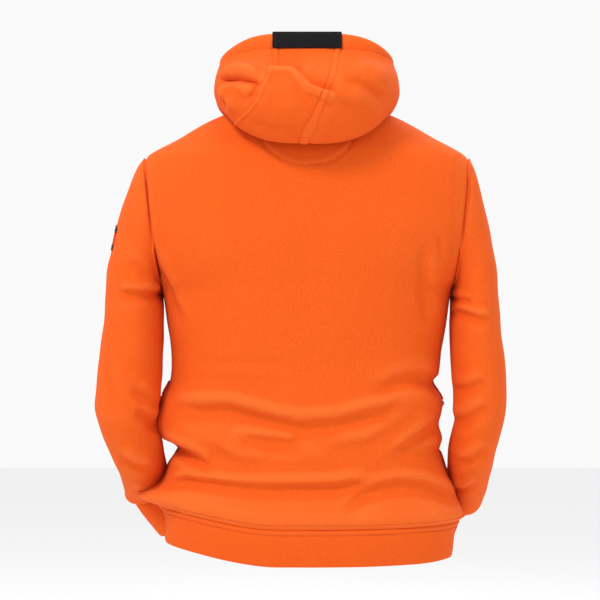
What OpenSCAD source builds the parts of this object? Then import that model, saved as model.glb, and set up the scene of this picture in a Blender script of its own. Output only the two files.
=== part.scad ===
// Pullover hooded sweatshirt with a front hand-warmer pouch, in the shape it takes when worn,
// hood down and arms hanging. Millimetres. The origin is the middle of the neck, at the height
// of the neck seam. +Z is up, +Y is the wearer's front and -X the wearer's left.

/* [Body] */
// Width across the chest just below the armpits
chest_w = 412; // [390:2:500]
// Depth of the chest from back to front
chest_d = 254; // [220:2:310]
// Length from the neck seam down to the lower edge of the hem band
body_len = 645; // [600:1:780]
// Width between the two armhole seams at the shoulders
shoulder_w = 474; // [450:2:580]
// Drop of the shoulder points below the neck seam
shoulder_drop = 62; // [50:1:75]
// Depth of an armhole from shoulder point to armpit
armhole_h = 195; // [170:1:235]
// Height of the hem band
hem_h = 53; // [45:1:70]

/* [Neck and hood] */
// Width of the neckline from side to side
neck_w = 180; // [160:2:200]
// Drop of the neckline at the middle of the front
neck_drop = 75; // [60:1:90]
// Height of the hood's brim above the neck seam, at the middle of the back
brim_h = 105; // [95:1:130]
// Reach of the hood's bag behind the neck
bag_reach = 184; // [165:1:215]
// Width of the hood's centre panel at the brim
centre_panel_w = 100; // [80:1:120]
// Height of the stitched tunnel along the brim
tunnel_h = 25; // [18:1:32]
// Length of the loop strip at the back of the brim
strip_len = 96; // [70:1:105]
// Height of the loop strip
strip_h = 25; // [20:1:32]
// Hole radius of the two eyelets of the brim tunnel
eyelet_r = 2.6; // [2:0.1:3.5]

/* [Sleeves] */
// Width of the left sleeve seen from behind, at the elbow
sleeve_w = 93; // [84:1:105]
// Depth of a sleeve from back to front, at the biceps
sleeve_d = 136; // [115:1:160]
// Length of a cuff
cuff_len = 70; // [50:1:80]
// Width of a cuff seen from behind
cuff_w = 54; // [48:1:58]
// Height of the sleeve patch
patch_h = 34; // [25:1:45]

/* [Pouch] */
// Height of the hand-warmer pouch above the hem band
pouch_h = 200; // [170:1:240]
// Width of the pouch along its top edge
pouch_top_w = 190; // [160:2:230]
// Width of the pouch along its lower edge
pouch_base_w = 300; // [250:2:330]
// Room for a hand between the pouch and the body
pouch_room = 24; // [16:1:34]

/* [Fabric] */
// Thickness of the body fabric
fabric_t = 3; // [2:0.1:4]
// Thickness of the hood lining
lining_t = 2.2; // [1.5:0.1:3]
// Thickness of the folded hem band and cuffs
band_t = 5; // [4:0.1:6]
// Gap between neighbouring pieces along a seam
seam_gap = 0.6; // [0.4:0.1:1]

/* [Hidden] */

half_chest = chest_w / 2;
half_neck = neck_w / 2;
half_shoulder = shoulder_w / 2;
hem_top = hem_h - body_len;          // height of the seam between the body and its hem band
armpit_z = -shoulder_drop - armhole_h;
armpit_x = half_chest + 8;           // the armhole plane leans in towards the armpit
lining_gap = 0.8;                    // air between two layers of cloth
armhole_gap = 3;                     // room for the set-in seam between body and sleeve
body_power = 2.4;                    // how square the body's horizontal section is
side_neck_z = 12;                    // height of the neckline at the sides of the neck
back_neck_z = 5;                     // height of the neckline at the middle of the back

// ---- Curves and surfaces ----

function spow(x, p) = sign(x) * pow(abs(x), p);
function mix(a, b, t) = a + (b - a) * t;
function clamp01(t) = min(1, max(0, t));
function ease(t) = let (c = clamp01(t)) c * c * (3 - 2 * c);

// Index of the span of the knot list k = [[s, value], ...] that holds s
function span(k, s, i = 0) = i >= len(k) - 2 || s < k[i + 1][0] ? i : span(k, s, i + 1);
function knot_slope(k, i) =
    let (a = max(0, i - 1), b = min(len(k) - 1, i + 1))
    (k[b][1] - k[a][1]) / (k[b][0] - k[a][0]);

// Smooth curve through the knots; the values are numbers or vectors
function curve(k, s) =
    let (i = span(k, s),
         h = k[i + 1][0] - k[i][0],
         t = clamp01((s - k[i][0]) / h))
    k[i][1] * (1 + 2 * t) * (1 - t) * (1 - t) + knot_slope(k, i) * h * t * (1 - t) * (1 - t)
    + k[i + 1][1] * t * t * (3 - 2 * t) + knot_slope(k, i + 1) * h * t * t * (t - 1);

// Point of the surface f(u, v), moved by d along its normal. The slopes are taken
// inside the limits of u and v.
function offset_point(f, u, v, d, u_lim = [-400, 400], v_lim = [0, 1], e = 0.004) =
    let (along_u = f(min(u + e, u_lim[1]), v) - f(max(u - e, u_lim[0]), v),
         along_v = f(u, min(v + e, v_lim[1])) - f(u, max(v - e, v_lim[0])),
         n = cross(along_u, along_v))
    f(u, v) + n * (d / norm(n));

function two_triangles(a, b, c, d) = [[a, b, c], [a, c, d]];

// Cloth between the offsets d[0] and d[1] of the surface f(u, v); a ring when closed
module cloth(f, u, nu, v, nv, d, closed = false) {
    cols = closed ? nu : nu + 1;
    last = nu - 1;
    points = [for (k = [0, 1], j = [0 : nv], i = [0 : cols - 1])
        offset_point(f, mix(u[0], u[1], i / nu), mix(v[0], v[1], j / nv), d[k],
                     closed ? [-9, 9] : u, v)];
    function at(k, j, i) = (k * (nv + 1) + j) * cols + i % cols;
    skins = [for (j = [0 : nv - 1], i = [0 : last]) each concat(
        two_triangles(at(1, j, i), at(1, j + 1, i), at(1, j + 1, i + 1), at(1, j, i + 1)),
        two_triangles(at(0, j, i), at(0, j, i + 1), at(0, j + 1, i + 1), at(0, j + 1, i)))];
    ends = [for (i = [0 : last]) each concat(
        two_triangles(at(0, 0, i), at(1, 0, i), at(1, 0, i + 1), at(0, 0, i + 1)),
        two_triangles(at(0, nv, i), at(0, nv, i + 1), at(1, nv, i + 1), at(1, nv, i)))];
    sides = closed ? [] : [for (j = [0 : nv - 1]) each concat(
        two_triangles(at(0, j, 0), at(0, j + 1, 0), at(1, j + 1, 0), at(1, j, 0)),
        two_triangles(at(0, j, nu), at(1, j, nu), at(1, j + 1, nu), at(0, j + 1, nu)))];
    polyhedron(points, concat(skins, ends, sides), convexity = 6);
}

// ---- Form of the body ----

// Height at the share t of the way from the hem seam up to the armpits
function trunk_z(t) = mix(hem_top, armpit_z, t);

// Half width of the body at height z. Beside the armholes it is wider than the armhole
// planes that cut it, and above the shoulder points it is the shoulder line.
function body_half_width(z) = curve([
    [-body_len, half_chest + 7], [hem_top, half_chest + 11], [trunk_z(0.095), half_chest + 10],
    [trunk_z(0.185), half_chest], [trunk_z(0.25), half_chest - 8],
    [trunk_z(0.305), half_chest - 13], [trunk_z(0.364), half_chest - 4],
    [trunk_z(0.448), half_chest + 2], [trunk_z(0.537), half_chest],
    [trunk_z(0.603), half_chest - 9], [trunk_z(0.68), half_chest - 10],
    [trunk_z(0.83), half_chest - 2], [armpit_z, armpit_x],
    [armpit_z + 0.1 * armhole_h, mix(armpit_x, half_shoulder, 0.6)],
    [armpit_z + 0.27 * armhole_h, half_shoulder + 10],
    [armpit_z + 0.5 * armhole_h, half_shoulder + 21],
    [armpit_z + 0.73 * armhole_h, half_shoulder + 19],
    [-shoulder_drop, half_shoulder], [-shoulder_drop * 0.55, mix(half_neck, half_shoulder, 0.68)],
    [-shoulder_drop * 0.05, mix(half_neck, half_shoulder, 0.3)], [side_neck_z, half_neck]], z);

// Depth of the back and of the front from the plane of the side seams
function back_depth(z) = chest_d / 2 + curve([
    [-body_len, 2], [hem_top, 6], [trunk_z(0.2), 1], [trunk_z(0.5), 1], [trunk_z(0.7), -3],
    [armpit_z, 5], [armpit_z + 0.5 * armhole_h, 11], [-shoulder_drop, -6],
    [-shoulder_drop / 2, -22], [0, -46], [side_neck_z, -57]], z);
function front_depth(z) = chest_d / 2 + curve([
    [-body_len, -8], [hem_top, -5], [trunk_z(0.5), -3], [armpit_z, 0],
    [armpit_z + 0.5 * armhole_h, -1], [-shoulder_drop - 20, -16], [-shoulder_drop, -22],
    [-shoulder_drop / 2, -36], [0, -48], [side_neck_z, -55]], z);

// Depth at a distance x from the middle, on a body of depth d and half width w
function body_depth_at(x, w, d) = d * pow(max(0, 1 - pow(min(1, abs(x) / w), body_power)), 1 / body_power);
function back_y(x, z) = -body_depth_at(x, body_half_width(z), back_depth(z));
function front_y(x, z) = body_depth_at(x, body_half_width(z), front_depth(z));

// Distance of the armhole plane, or of the side of the body, from the middle
function edge_x(z) =
    z > armpit_z && z < -shoulder_drop
        ? mix(armpit_x, half_shoulder, (z - armpit_z) / armhole_h)
        : body_half_width(z);

// Height of the shoulder line at the distance x from the middle: the height where the
// body is as wide as that, found by halving
function shoulder_z(x, low = -shoulder_drop, high = side_neck_z, n = 24) =
    let (middle = (low + high) / 2)
    n == 0 ? middle :
    body_half_width(middle) > x ? shoulder_z(x, middle, high, n - 1) : shoulder_z(x, low, middle, n - 1);

neck_share = 0.4;   // share of a panel's upper edge that is neckline

function neck_x(a) = half_neck * sin(a);
function back_neck_height(a) = mix(back_neck_z, side_neck_z, pow(sin(a), 2));
function front_neck_height(a) = mix(side_neck_z, -neck_drop, ease(pow(max(0, cos(a)), 0.8)));

// Upper edge of a panel at u from -1 to 1, as [x, z]; neck_height gives the neckline
function upper_edge(u, neck_height) =
    abs(u) <= neck_share
        ? [neck_x(90 * u / neck_share), neck_height(90 * u / neck_share)]
        : let (x = mix(half_neck, half_shoulder, (abs(u) - neck_share) / (1 - neck_share)))
          [sign(u) * x, shoulder_z(x)];

// [x, z] of a body panel at u from side to side and v from the hem seam to the upper edge
function panel_xz(u, v, neck_height) =
    let (rise = 1 - pow(max(0, 1 - v), 1.9),
         top = upper_edge(u, neck_height),
         z = mix(hem_top + seam_gap / 2, top[1], rise),
         side_z = mix(hem_top + seam_gap / 2, -shoulder_drop, rise),
         low_share = spow(sin(90 * u), 2 / body_power),
         high_share = top[0] / half_shoulder)
    [mix(low_share, high_share, ease((rise - 0.25) / 0.75)) * edge_x(side_z), z];

function back_surface(u, v) =
    let (p = panel_xz(u, v, function(a) back_neck_height(a)))
    [p[0], back_y(p[0], p[1]) - seam_gap / 2, p[1]];
function front_surface(u, v) =
    let (p = panel_xz(-u, v, function(a) front_neck_height(a)))
    [p[0], front_y(p[0], p[1]) + seam_gap / 2, p[1]];

// ---- Body pieces ----

module back_panel() {
    color("#f86a32")
        cloth(function(u, v) back_surface(u, v), [-1, 1], 28, [0, 1], 28, [-fabric_t, 0]);
}

module front_panel() {
    color("#f86a32")
        cloth(function(u, v) front_surface(u, v), [-1, 1], 28, [0, 1], 28, [-fabric_t, 0]);
}

// Ring of the body at height z; a is the angle round from the left side over the back
function body_ring(a, z) =
    let (w = body_half_width(z), s = cos(a), c = sin(a))
    [-w * spow(s, 2 / body_power),
     -(c > 0 ? back_depth(z) : front_depth(z)) * spow(c, 2 / body_power), z];

module hem_band() {
    color("#f96426")
        cloth(function(u, v) body_ring(360 * u, mix(-body_len, hem_top - seam_gap / 2, v)),
              [0, 1], 56, [0, 1], 3, [-band_t, 0], closed = true);
}

// ---- Hand-warmer pouch ----

pouch_z0 = hem_top + 2;
pouch_mouth_share = 0.78;   // share of the pouch's height that a hand opening takes

// Half width of the pouch at the height share v
function pouch_half_width(v) =
    mix(pouch_base_w, pouch_top_w, clamp01((v - 1 + pouch_mouth_share) / pouch_mouth_share)) / 2;
// How far a hand opening gapes at the height share v
function mouth(v) = sqrt(sin(180 * clamp01((v - 1 + pouch_mouth_share) / (pouch_mouth_share - 0.05))));
// Distance of the pouch's inner face from the body at u across and v up the pouch
function pouch_lift(u, v) =
    seam_gap + (pouch_room - seam_gap) * pow(sin(180 * clamp01(v)), 0.7)
             * (1 - pow(u, 4) * (1 - 0.75 * mouth(v)));
function pouch_surface(u, v) =
    let (x = -u * pouch_half_width(v), z = pouch_z0 + v * pouch_h)
    [x, front_y(x, z) + pouch_lift(u, v), z];

module pouch_pocket() {
    color("#f86a32")
        cloth(function(u, v) pouch_surface(u, v), [-1, 1], 16, [0, 1], 14, [0, fabric_t]);
}

// Facing folded behind the edge of a hand opening; side is -1 on the wearer's left
module pouch_facing(side) {
    edge = side < 0 ? [0.84, 0.98] : [-0.98, -0.84];
    color("#e85c24")
        cloth(function(u, v) pouch_surface(u, v), edge, 2, [1 - pouch_mouth_share + 0.02, 0.9], 8, [-2 * lining_gap - 1.4, -2 * lining_gap]);
}

// Close stitching that holds the four corners of the hand openings
module pouch_bartacks() {
    for (side = [-1, 1], v = [1 - pouch_mouth_share - 0.03, 0.955])
        color("#e4561e")
            cloth(function(p, q) pouch_surface(p, q), [side * 0.97 - 0.02, side * 0.97 + 0.02], 1,
                  [v - 0.025, v + 0.025], 2, [fabric_t + 1, fabric_t + 1.8]);
}

// ---- Inside the neck ----

tape_h = 12;
moon_w = 142;
moon_h = 70;
inner_face = -fabric_t - lining_gap;   // offset of the first layer inside the body

// A place inside the back, at x across and a height z
function back_wall(x, z) = [x, back_y(x, z) - seam_gap / 2, z];
function below_back_neck(x, drop) = back_neck_height(asin(x / half_neck)) - drop;

module neck_tape() {
    color("#d9541f")
        cloth(function(u, v) let (x = u * 58) back_wall(x, below_back_neck(x, mix(tape_h + 2, 2, v))),
              [-1, 1], 14, [0, 1], 2, [inner_face - 1, inner_face]);
}

module half_moon_patch() {
    top = tape_h + 4;
    color("#f0642e")
        cloth(function(u, v) let (x = u * moon_w / 2 * 0.96,
                                  low = -moon_h * sqrt(max(0.03, 1 - u * u * 0.94)))
                  back_wall(x, mix(low, below_back_neck(x, top), v)),
              [-0.88, 0.88], 14, [0, 1], 5, [inner_face - 1.6, inner_face]);
}

module neck_label() {
    color("#1c1c1e")
        cloth(function(u, v) back_wall(u * 22, mix(-48, -18, v)), [-1, 1], 4, [0, 1], 3,
              [inner_face - 3, inner_face - 2.2]);
}

// ---- Sleeves ----

// A sleeve is a row of rings. Each ring is given by its outer and inner ends in the plane
// of the back, by its y, by its pitch, which lifts its front, and by its half depth:
// [outer x, outer z, inner x, inner z, y, pitch, half depth].
// Row of a table: [share of the length, width as a share of sleeve_w, outer height,
// inner distance from armpit_x, inner height, y, pitch, half depth as a share of sleeve_d].
// Heights count from the armpit.
function arm_rings(table) = concat(
    [[0, [half_shoulder, -shoulder_drop, armpit_x, armpit_z, -5, 0, sleeve_d * 0.56]]],
    [for (t = table)
        let (inner = armpit_x + t[3])
        [t[0], [inner + t[1] * sleeve_w, armpit_z + hang(t[2]), inner, armpit_z + hang(t[4]),
                t[5], t[6], t[7] * sleeve_d]]]);

// The sleeves hang beside the body, so what is below the armpit follows the length of the
// body's side. The tables' heights are for a side of this length.
table_side_len = 335;
function hang(height) = height < 0 ? height * ((armpit_z - hem_top) / table_side_len) : height;

left_arm = arm_rings([
    [0.05, 0.525, 0.82 * armhole_h, -2, -5, -8, 0, 0.56],
    [0.10, 0.69, 0.575 * armhole_h, -3, -12, -11, 0, 0.55],
    [0.16, 0.81, 0.33 * armhole_h, -4, -20, -15, -3, 0.53],
    [0.23, 0.89, 0.145 * armhole_h, -4.5, -30, -18, -5, 0.51],
    [0.32, 0.94, -45, -5, -50, -24, -6, 0.5],
    [0.43, 1.00, -95, -4.5, -98, -30, -6, 0.49],
    [0.54, 1.01, -145, -1, -145, -35, 0, 0.48],
    [0.62, 0.975, -178, 2, -186, -37, 8, 0.46],
    [0.71, 0.88, -222, -5, -234, -22, 26, 0.41],
    [0.80, 0.77, -258, -6, -268, 15, 38, 0.35],
    [0.90, 0.71, -291, -4, -284, 60, 38, 0.3],
    [1.00, 0.66, -315, -2, -299, 98, 22, 0.27]]);
right_arm = arm_rings([
    [0.05, 0.475, 0.755 * armhole_h, -2, -5, -8, 0, 0.56],
    [0.10, 0.60, 0.5 * armhole_h, -3, -12, -11, 0, 0.55],
    [0.16, 0.69, 0.27 * armhole_h, -4, -20, -15, -3, 0.54],
    [0.23, 0.74, 0.11 * armhole_h, -4.5, -30, -18, -5, 0.53],
    [0.32, 0.785, -45, -5, -50, -24, -6, 0.53],
    [0.43, 0.83, -95, -4.5, -98, -30, -6, 0.52],
    [0.54, 0.835, -143, -1, -145, -35, 0, 0.5],
    [0.62, 0.78, -183, 0, -188, -36, 6, 0.47],
    [0.71, 0.74, -223, -6, -230, -24, 22, 0.43],
    [0.80, 0.70, -258, -6, -266, 8, 32, 0.38],
    [0.90, 0.64, -292, -4, -290, 44, 40, 0.34],
    [1.00, 0.57, -318, -9, -306, 76, 44, 0.3]]);

// Point of the armhole's edge at the angle a, 0 at the shoulder point and 180 at the armpit
function armhole_point(a) =
    let (z = mix(armpit_z, -shoulder_drop, 0.5 + 0.5 * cos(a)), x = edge_x(z))
    [x, sin(a) > 0 ? front_y(x, z) : back_y(x, z), z];

// Point of the ring r at the angle a, 0 at its outer end and 90 in front
function ring_point(r, a) =
    let (c = cos(a), s = sin(a))
    [(r[0] + r[2] + (r[0] - r[2]) * c) / 2,
     r[4] + r[6] * cos(r[5]) * s,
     (r[1] + r[3] + (r[1] - r[3]) * c) / 2 + r[6] * sin(r[5]) * s];

// A sleeve leaves the armhole's edge and soon takes the form of its rings
head_share = 0.12;
function sleeve_surface(arm, side, u, v) =
    let (a = -side * 360 * u,
         p = mix(armhole_point(a), ring_point(curve(arm, v), a), ease(v / head_share)))
    [side * (p[0] + armhole_gap), p[1], p[2]];

module sleeve(arm, side) {
    color("#f86a32")
        cloth(function(u, v) sleeve_surface(arm, side, u, v), [0, 1], 24, [0, 1], 22,
              [-fabric_t, 0], closed = true);
}

half_cuff = cuff_w / 2;

// A cuff runs on from the last ring of the arm. Its rings turn to face along the cuff,
// whose direction is along.
function cuff_frame(arm, along, v) =
    let (r = arm[len(arm) - 1][1],
         start = [(r[0] + r[2]) / 2, r[4], (r[1] + r[3]) / 2] + along * (2 * seam_gap + band_t * 0.3),
         across = mix([r[0] - r[2], 0, r[1] - r[3]] / norm([r[0] - r[2], r[1] - r[3]]),
                      [-along[2], 0, along[0]] / norm([along[0], along[2]]), v),
         ahead = mix([0, cos(r[5]), sin(r[5])], cross(across, along), v))
    [start + along * v * cuff_len, across / norm(across), ahead / norm(ahead)];
function cuff_surface(arm, along, side, u, v) =
    let (f = cuff_frame(arm, along, v), a = -side * 360 * u,
         p = f[0] + f[1] * (half_cuff - 2 * v) * cos(a) + f[2] * (half_cuff + 4 - 3 * v) * sin(a))
    [side * (p[0] + armhole_gap), p[1], p[2]];

module cuff(arm, along, side) {
    color("#f35f28")
        cloth(function(u, v) cuff_surface(arm, along, side, u, v), [0, 1], 24, [0, 1], 4,
              [-band_t, 0], closed = true);
}

left_cuff_way = [-0.52, 0.27, -0.81];
right_cuff_way = [-0.55, 0.66, -0.51];

// The patch's lower and upper edges, as shares of the sleeve's length. The outer edge of
// the sleeve drops about 7 mm for each hundredth of that length there.
patch_v0 = 0.118;
patch_v1 = patch_v0 + patch_h / 710;

// Patch sewn to the outside of the left sleeve: a dark frame round a plain field
module sleeve_patch(u_from, u_to, v_from, v_to, thick) {
    cloth(function(u, v) sleeve_surface(left_arm, -1, u, v),
          [u_from, u_to], 6, [v_from, v_to], 3, [0.3, 0.3 + thick]);
}

module sleeve_patch_frame() {
    edge = 0.009;
    color("#141416") {
        sleeve_patch(-0.075, 0.075, patch_v0, patch_v0 + edge, 1.4);
        sleeve_patch(-0.075, 0.075, patch_v1 - edge, patch_v1, 1.4);
    }
}

module sleeve_patch_field() {
    color("#e2451c")
        sleeve_patch(-0.07, 0.07, patch_v0 + 0.011, patch_v1 - 0.011, 1);
}

// ---- Hood ----

// Rings of the hood from the neck seam, over the bag that hangs behind, to the brim:
// [half width, depth behind, depth in front, heights at the back, side and front]
function hood_ring(k) = curve([
    [0.00, [half_neck + 1, 80, 103, 8, side_neck_z + 4, 4 - neck_drop]],
    [0.14, [half_neck + 17, 112, 107, -22, side_neck_z + 4, 11 - neck_drop]],
    [0.30, [half_neck + 34, bag_reach - 36, 112, -50, 11, 17 - neck_drop]],
    [0.46, [half_neck + 42, bag_reach - 3, 116, -18, 28, 25 - neck_drop]],
    [0.62, [half_neck + 41, bag_reach - 3, 113, 30, 48, 33 - neck_drop]],
    [0.80, [half_neck + 37, 136, 106, brim_h - 36, brim_h - 39, 39 - neck_drop]],
    [1.00, [half_neck + 32, 118, 97, brim_h, brim_h - 27, 45 - neck_drop]]], k);

// Point of the neck seam at the angle a round from the middle of the back. The hood starts
// clear above the body's neckline. In front the points lie closer to the sides, so that the
// hood's rows stand across the seam.
function neck_seam_point(a) =
    let (back = cos(a) > 0,
         turn = back ? abs(a) : 90 + 90 * pow((abs(a) - 90) / 90, 1.5),
         x = half_neck * sin(turn),
         z = back ? back_neck_height(turn) : front_neck_height(180 - turn))
    [sign(a) * x, back ? back_y(x, z) : front_y(x, z), z + fabric_t + 4 * seam_gap];

// Point of the hood at the angle a and the share k of the way from neck seam to brim. The
// rings are squarer in front, like the chest they lie over.
function hood_point(a, k) =
    let (r = hood_ring(k),
         back = cos(a) > 0,
         power = back ? mix(2.2, 3, ease(k)) : mix(4, 3, ease(k / 0.6)),
         s = spow(sin(a), 2 / power),
         c = spow(cos(a), 2 / power),
         swell = back ? mix(1.7, 2.6, ease((k - 0.12) / 0.18)) : 1,
         z = mix(back ? r[3] : r[5], r[4], pow(abs(sin(a)), swell)))
    mix(neck_seam_point(a), [r[0] * s, -(back ? r[1] : r[2]) * c, z], ease(k / 0.14));

// Angles of the two seams of the centre panel, which the bag's slump draws to the left
function seam_half_angle(k) = asin(pow(centre_panel_w / 2 / (half_neck + 34), 1.5)) + 12 * sin(180 * clamp01(k));
function seam_twist(k) = -26 * sin(180 * clamp01(k));
function left_seam(k) = seam_twist(k) - seam_half_angle(k);
function right_seam(k) = seam_twist(k) + seam_half_angle(k);
seam_angle_gap = 0.2;
front_angle = 179.7;   // the two side panels meet in front

// Rows lie closer together near the neck seam, where the hood bends most
module hood_layer(from, to, nu, d) {
    cloth(function(u, v) let (k = pow(max(0, v), 1.4)) hood_point(mix(from(k), to(k), u), k),
          [0, 1], nu, [0, 1], 18, d);
}

outer_layer = [0, fabric_t];
inner_layer = [-lining_gap - lining_t, -lining_gap];

module hood_side(side, d) {
    if (side < 0)
        hood_layer(function(k) -front_angle, function(k) left_seam(k) - seam_angle_gap, 16, d);
    else
        hood_layer(function(k) right_seam(k) + seam_angle_gap, function(k) front_angle, 16, d);
}

module hood_centre(d) {
    hood_layer(function(k) left_seam(k) + seam_angle_gap, function(k) right_seam(k) - seam_angle_gap, 6, d);
}

module hood_left_panel() { color("#f86a32") hood_side(-1, outer_layer); }
module hood_right_panel() { color("#f86a32") hood_side(1, outer_layer); }
module hood_centre_panel() { color("#f5642c") hood_centre(outer_layer); }
module hood_left_lining() { color("#e05a26") hood_side(-1, inner_layer); }
module hood_right_lining() { color("#e05a26") hood_side(1, inner_layer); }
module hood_centre_lining() { color("#e05a26") hood_centre(inner_layer); }

// Inner layer of the tunnel that is stitched along the brim
brim_slope = norm(hood_point(0, 1) - hood_point(0, 0.9)) / 0.1;
tunnel_k = 1 - tunnel_h / brim_slope;
facing_outer = inner_layer[0] - 2 * lining_gap;

module brim_facing() {
    color("#e85c24")
        cloth(function(u, v) hood_point(mix(-front_angle + 0.3, front_angle - 0.3, u), v),
              [0, 1], 44, [tunnel_k, 0.995], 2, [facing_outer - 1.6, facing_outer]);
}

// Flat strip of loop tape on the outside of the brim, at the middle of the back
strip_t = 1.8;
brim_top = hood_point(0, 1);
brim_low = hood_point(0, tunnel_k);
brim_lean = atan((brim_low[1] - brim_top[1]) / (brim_low[2] - brim_top[2]));

module on_brim(out) {
    middle = (brim_top + brim_low) / 2;
    translate([0, middle[1], middle[2]])
        rotate([-brim_lean, 0, 0])
            translate([0, -fabric_t - out, 0])
                children();
}

module loop_strip() {
    color("#0b0b0d")
        on_brim(strip_t / 2 + 0.3)
            cube([strip_len, strip_t, strip_h], center = true);
}

// Flanged eyelets where the tunnel opens at the front
eyelet_angle = 158;
eyelet_k = 0.9;
flange_w = 3;

module eyelet(side) {
    f = function(u, v) hood_point(u, v);
    a = side * eyelet_angle;
    inside = offset_point(f, a, eyelet_k, facing_outer - 2.2);
    outside = offset_point(f, a, eyelet_k, fabric_t + 1.2);
    axis = outside - inside;
    long = norm(axis);
    translate(inside)
        rotate([0, acos(axis[2] / long), atan2(axis[1], axis[0])])
            rotate_extrude($fn = 48)
                polygon([[eyelet_r, 0], [eyelet_r + flange_w, 0], [eyelet_r + flange_w, 0.5],
                         [eyelet_r + 0.8, 0.5], [eyelet_r + 0.8, long - 0.9],
                         [eyelet_r + flange_w, long - 0.9], [eyelet_r + flange_w, long],
                         [eyelet_r, long]]);
}

module hood_eyelets() {
    color("#8d8f94")
        for (side = [-1, 1])
            eyelet(side);
}

back_panel();
front_panel();
hem_band();
pouch_pocket();
pouch_facing(-1);  // pouch_left_facing
pouch_facing(1);  // pouch_right_facing
pouch_bartacks();
neck_tape();
half_moon_patch();
neck_label();
sleeve(left_arm, -1);  // left_sleeve
cuff(left_arm, left_cuff_way, -1);  // left_cuff
sleeve_patch_frame();
sleeve_patch_field();
sleeve(right_arm, 1);  // right_sleeve
cuff(right_arm, right_cuff_way, 1);  // right_cuff
hood_left_panel();
hood_centre_panel();
hood_right_panel();
hood_left_lining();
hood_centre_lining();
hood_right_lining();
brim_facing();
loop_strip();
hood_eyelets();
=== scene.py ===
import bpy
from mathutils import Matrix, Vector
import numpy as np


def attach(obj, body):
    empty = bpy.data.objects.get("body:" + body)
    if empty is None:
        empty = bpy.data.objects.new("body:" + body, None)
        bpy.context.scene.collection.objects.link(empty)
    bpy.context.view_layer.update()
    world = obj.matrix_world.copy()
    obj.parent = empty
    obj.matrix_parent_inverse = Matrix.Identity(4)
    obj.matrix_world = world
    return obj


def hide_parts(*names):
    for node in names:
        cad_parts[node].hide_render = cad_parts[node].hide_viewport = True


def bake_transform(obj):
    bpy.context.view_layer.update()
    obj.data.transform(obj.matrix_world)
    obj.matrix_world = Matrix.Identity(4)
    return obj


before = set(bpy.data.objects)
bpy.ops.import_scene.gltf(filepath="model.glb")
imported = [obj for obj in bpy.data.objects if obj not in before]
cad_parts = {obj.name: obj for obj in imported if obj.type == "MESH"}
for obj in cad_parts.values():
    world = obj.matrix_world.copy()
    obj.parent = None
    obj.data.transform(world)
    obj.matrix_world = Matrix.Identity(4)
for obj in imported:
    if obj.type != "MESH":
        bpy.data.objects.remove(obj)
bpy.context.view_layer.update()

# Shapes are worked out in millimetres, with the origin at the middle of the neck, and are
# turned to metres as they go into a mesh. +Z is up, +Y the wearer's front, -X the left.
toMetres = 0.001
degree = np.pi / 180

# Sizes of the garment, the same as the fixed frame's
size = {
    "halfChest": 206.0, "chestDepth": 254.0, "length": 645.0, "halfShoulder": 237.0,
    "shoulderDrop": 62.0, "armhole": 195.0, "hem": 53.0, "halfNeck": 90.0, "neckDrop": 75.0,
    "brim": 105.0, "bagReach": 184.0, "tunnel": 25.0, "sleeveWide": 93.0, "sleeveDeep": 136.0,
    "cuffLength": 70.0, "halfCuff": 27.0, "fabric": 3.0, "band": 5.0, "lining": 2.2, "layerGap": 0.8,
    "squareness": 2.4, "sideNeck": 12.0, "backNeck": 5.0,
}
hemTop = size["hem"] - size["length"]
armpitZ = -size["shoulderDrop"] - size["armhole"]
armpitX = size["halfChest"] + 8


# Curves
def power(x, p):  # |x| to the p, with the sign of x
    return np.sign(x) * np.abs(x) ** p


def mix(a, b, t):
    return a + (b - a) * t


def ease(t):  # smoothstep of t, held between 0 and 1
    t = np.clip(t, 0, 1)
    return t * t * (3 - 2 * t)


def curve(knots, s):
    # cubic through the knots [place, value], whose slope at a knot is that of the line
    # between its two neighbours; a value may be a number or a list of numbers
    at = np.array([k[0] for k in knots], float)
    value = np.array([k[1] for k in knots], float)
    count = len(at)
    low, high = np.maximum(np.arange(count) - 1, 0), np.minimum(np.arange(count) + 1, count - 1)
    gap = at[high] - at[low]
    slope = (value[high] - value[low]) / (gap if value.ndim == 1 else gap[:, None])
    s = np.asarray(s, float)
    i = np.clip(np.searchsorted(at, s, side="right") - 1, 0, count - 2)
    h = at[i + 1] - at[i]
    t = np.clip((s - at[i]) / h, 0, 1)
    if value.ndim > 1:
        h, t = h[..., None], t[..., None]
    return (value[i] * (1 + 2 * t) * (1 - t) ** 2 + slope[i] * h * t * (1 - t) ** 2
            + value[i + 1] * t * t * (3 - 2 * t) + slope[i + 1] * h * t * t * (t - 1))


def bell(distance, width):  # exp of minus the square of distance over width
    return np.exp(-(distance / width) ** 2)


def ripple(p, length, seed):
    # soft waves in all directions: five sines of the place, each with its own seeded
    # direction and start, of about the given wave length
    rng = np.random.default_rng(seed)
    total = 0
    for _ in range(5):
        way = rng.normal(size=3)
        way /= np.linalg.norm(way)
        total = total + np.sin((p @ way) * 2 * np.pi / (length * rng.uniform(0.7, 1.4)) + rng.uniform(0, 6.28))
    return total / 5


def alongPath(path, x, z):
    # nearest point of a polyline in the plane of the back: gives the signed distance,
    # positive to the left of its direction, and the share of its length there
    path = np.array(path, float)
    steps = np.diff(path, axis=0)
    lengths = np.hypot(steps[:, 0], steps[:, 1])
    starts = np.concatenate([[0], np.cumsum(lengths)[:-1]])
    best = np.full(np.shape(x), 1e9)
    side = np.zeros(np.shape(x))
    share = np.zeros(np.shape(x))
    for (px, pz), (dx, dz), length, start in zip(path[:-1], steps, lengths, starts):
        t = np.clip(((x - px) * dx + (z - pz) * dz) / length ** 2, 0, 1)
        distance = np.hypot(x - px - t * dx, z - pz - t * dz)
        nearer = distance < best
        best = np.where(nearer, distance, best)
        side = np.where(nearer, np.sign((z - pz) * dx - (x - px) * dz), side)
        share = np.where(nearer, (start + t * length) / lengths.sum(), share)
    return best * side, share


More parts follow.
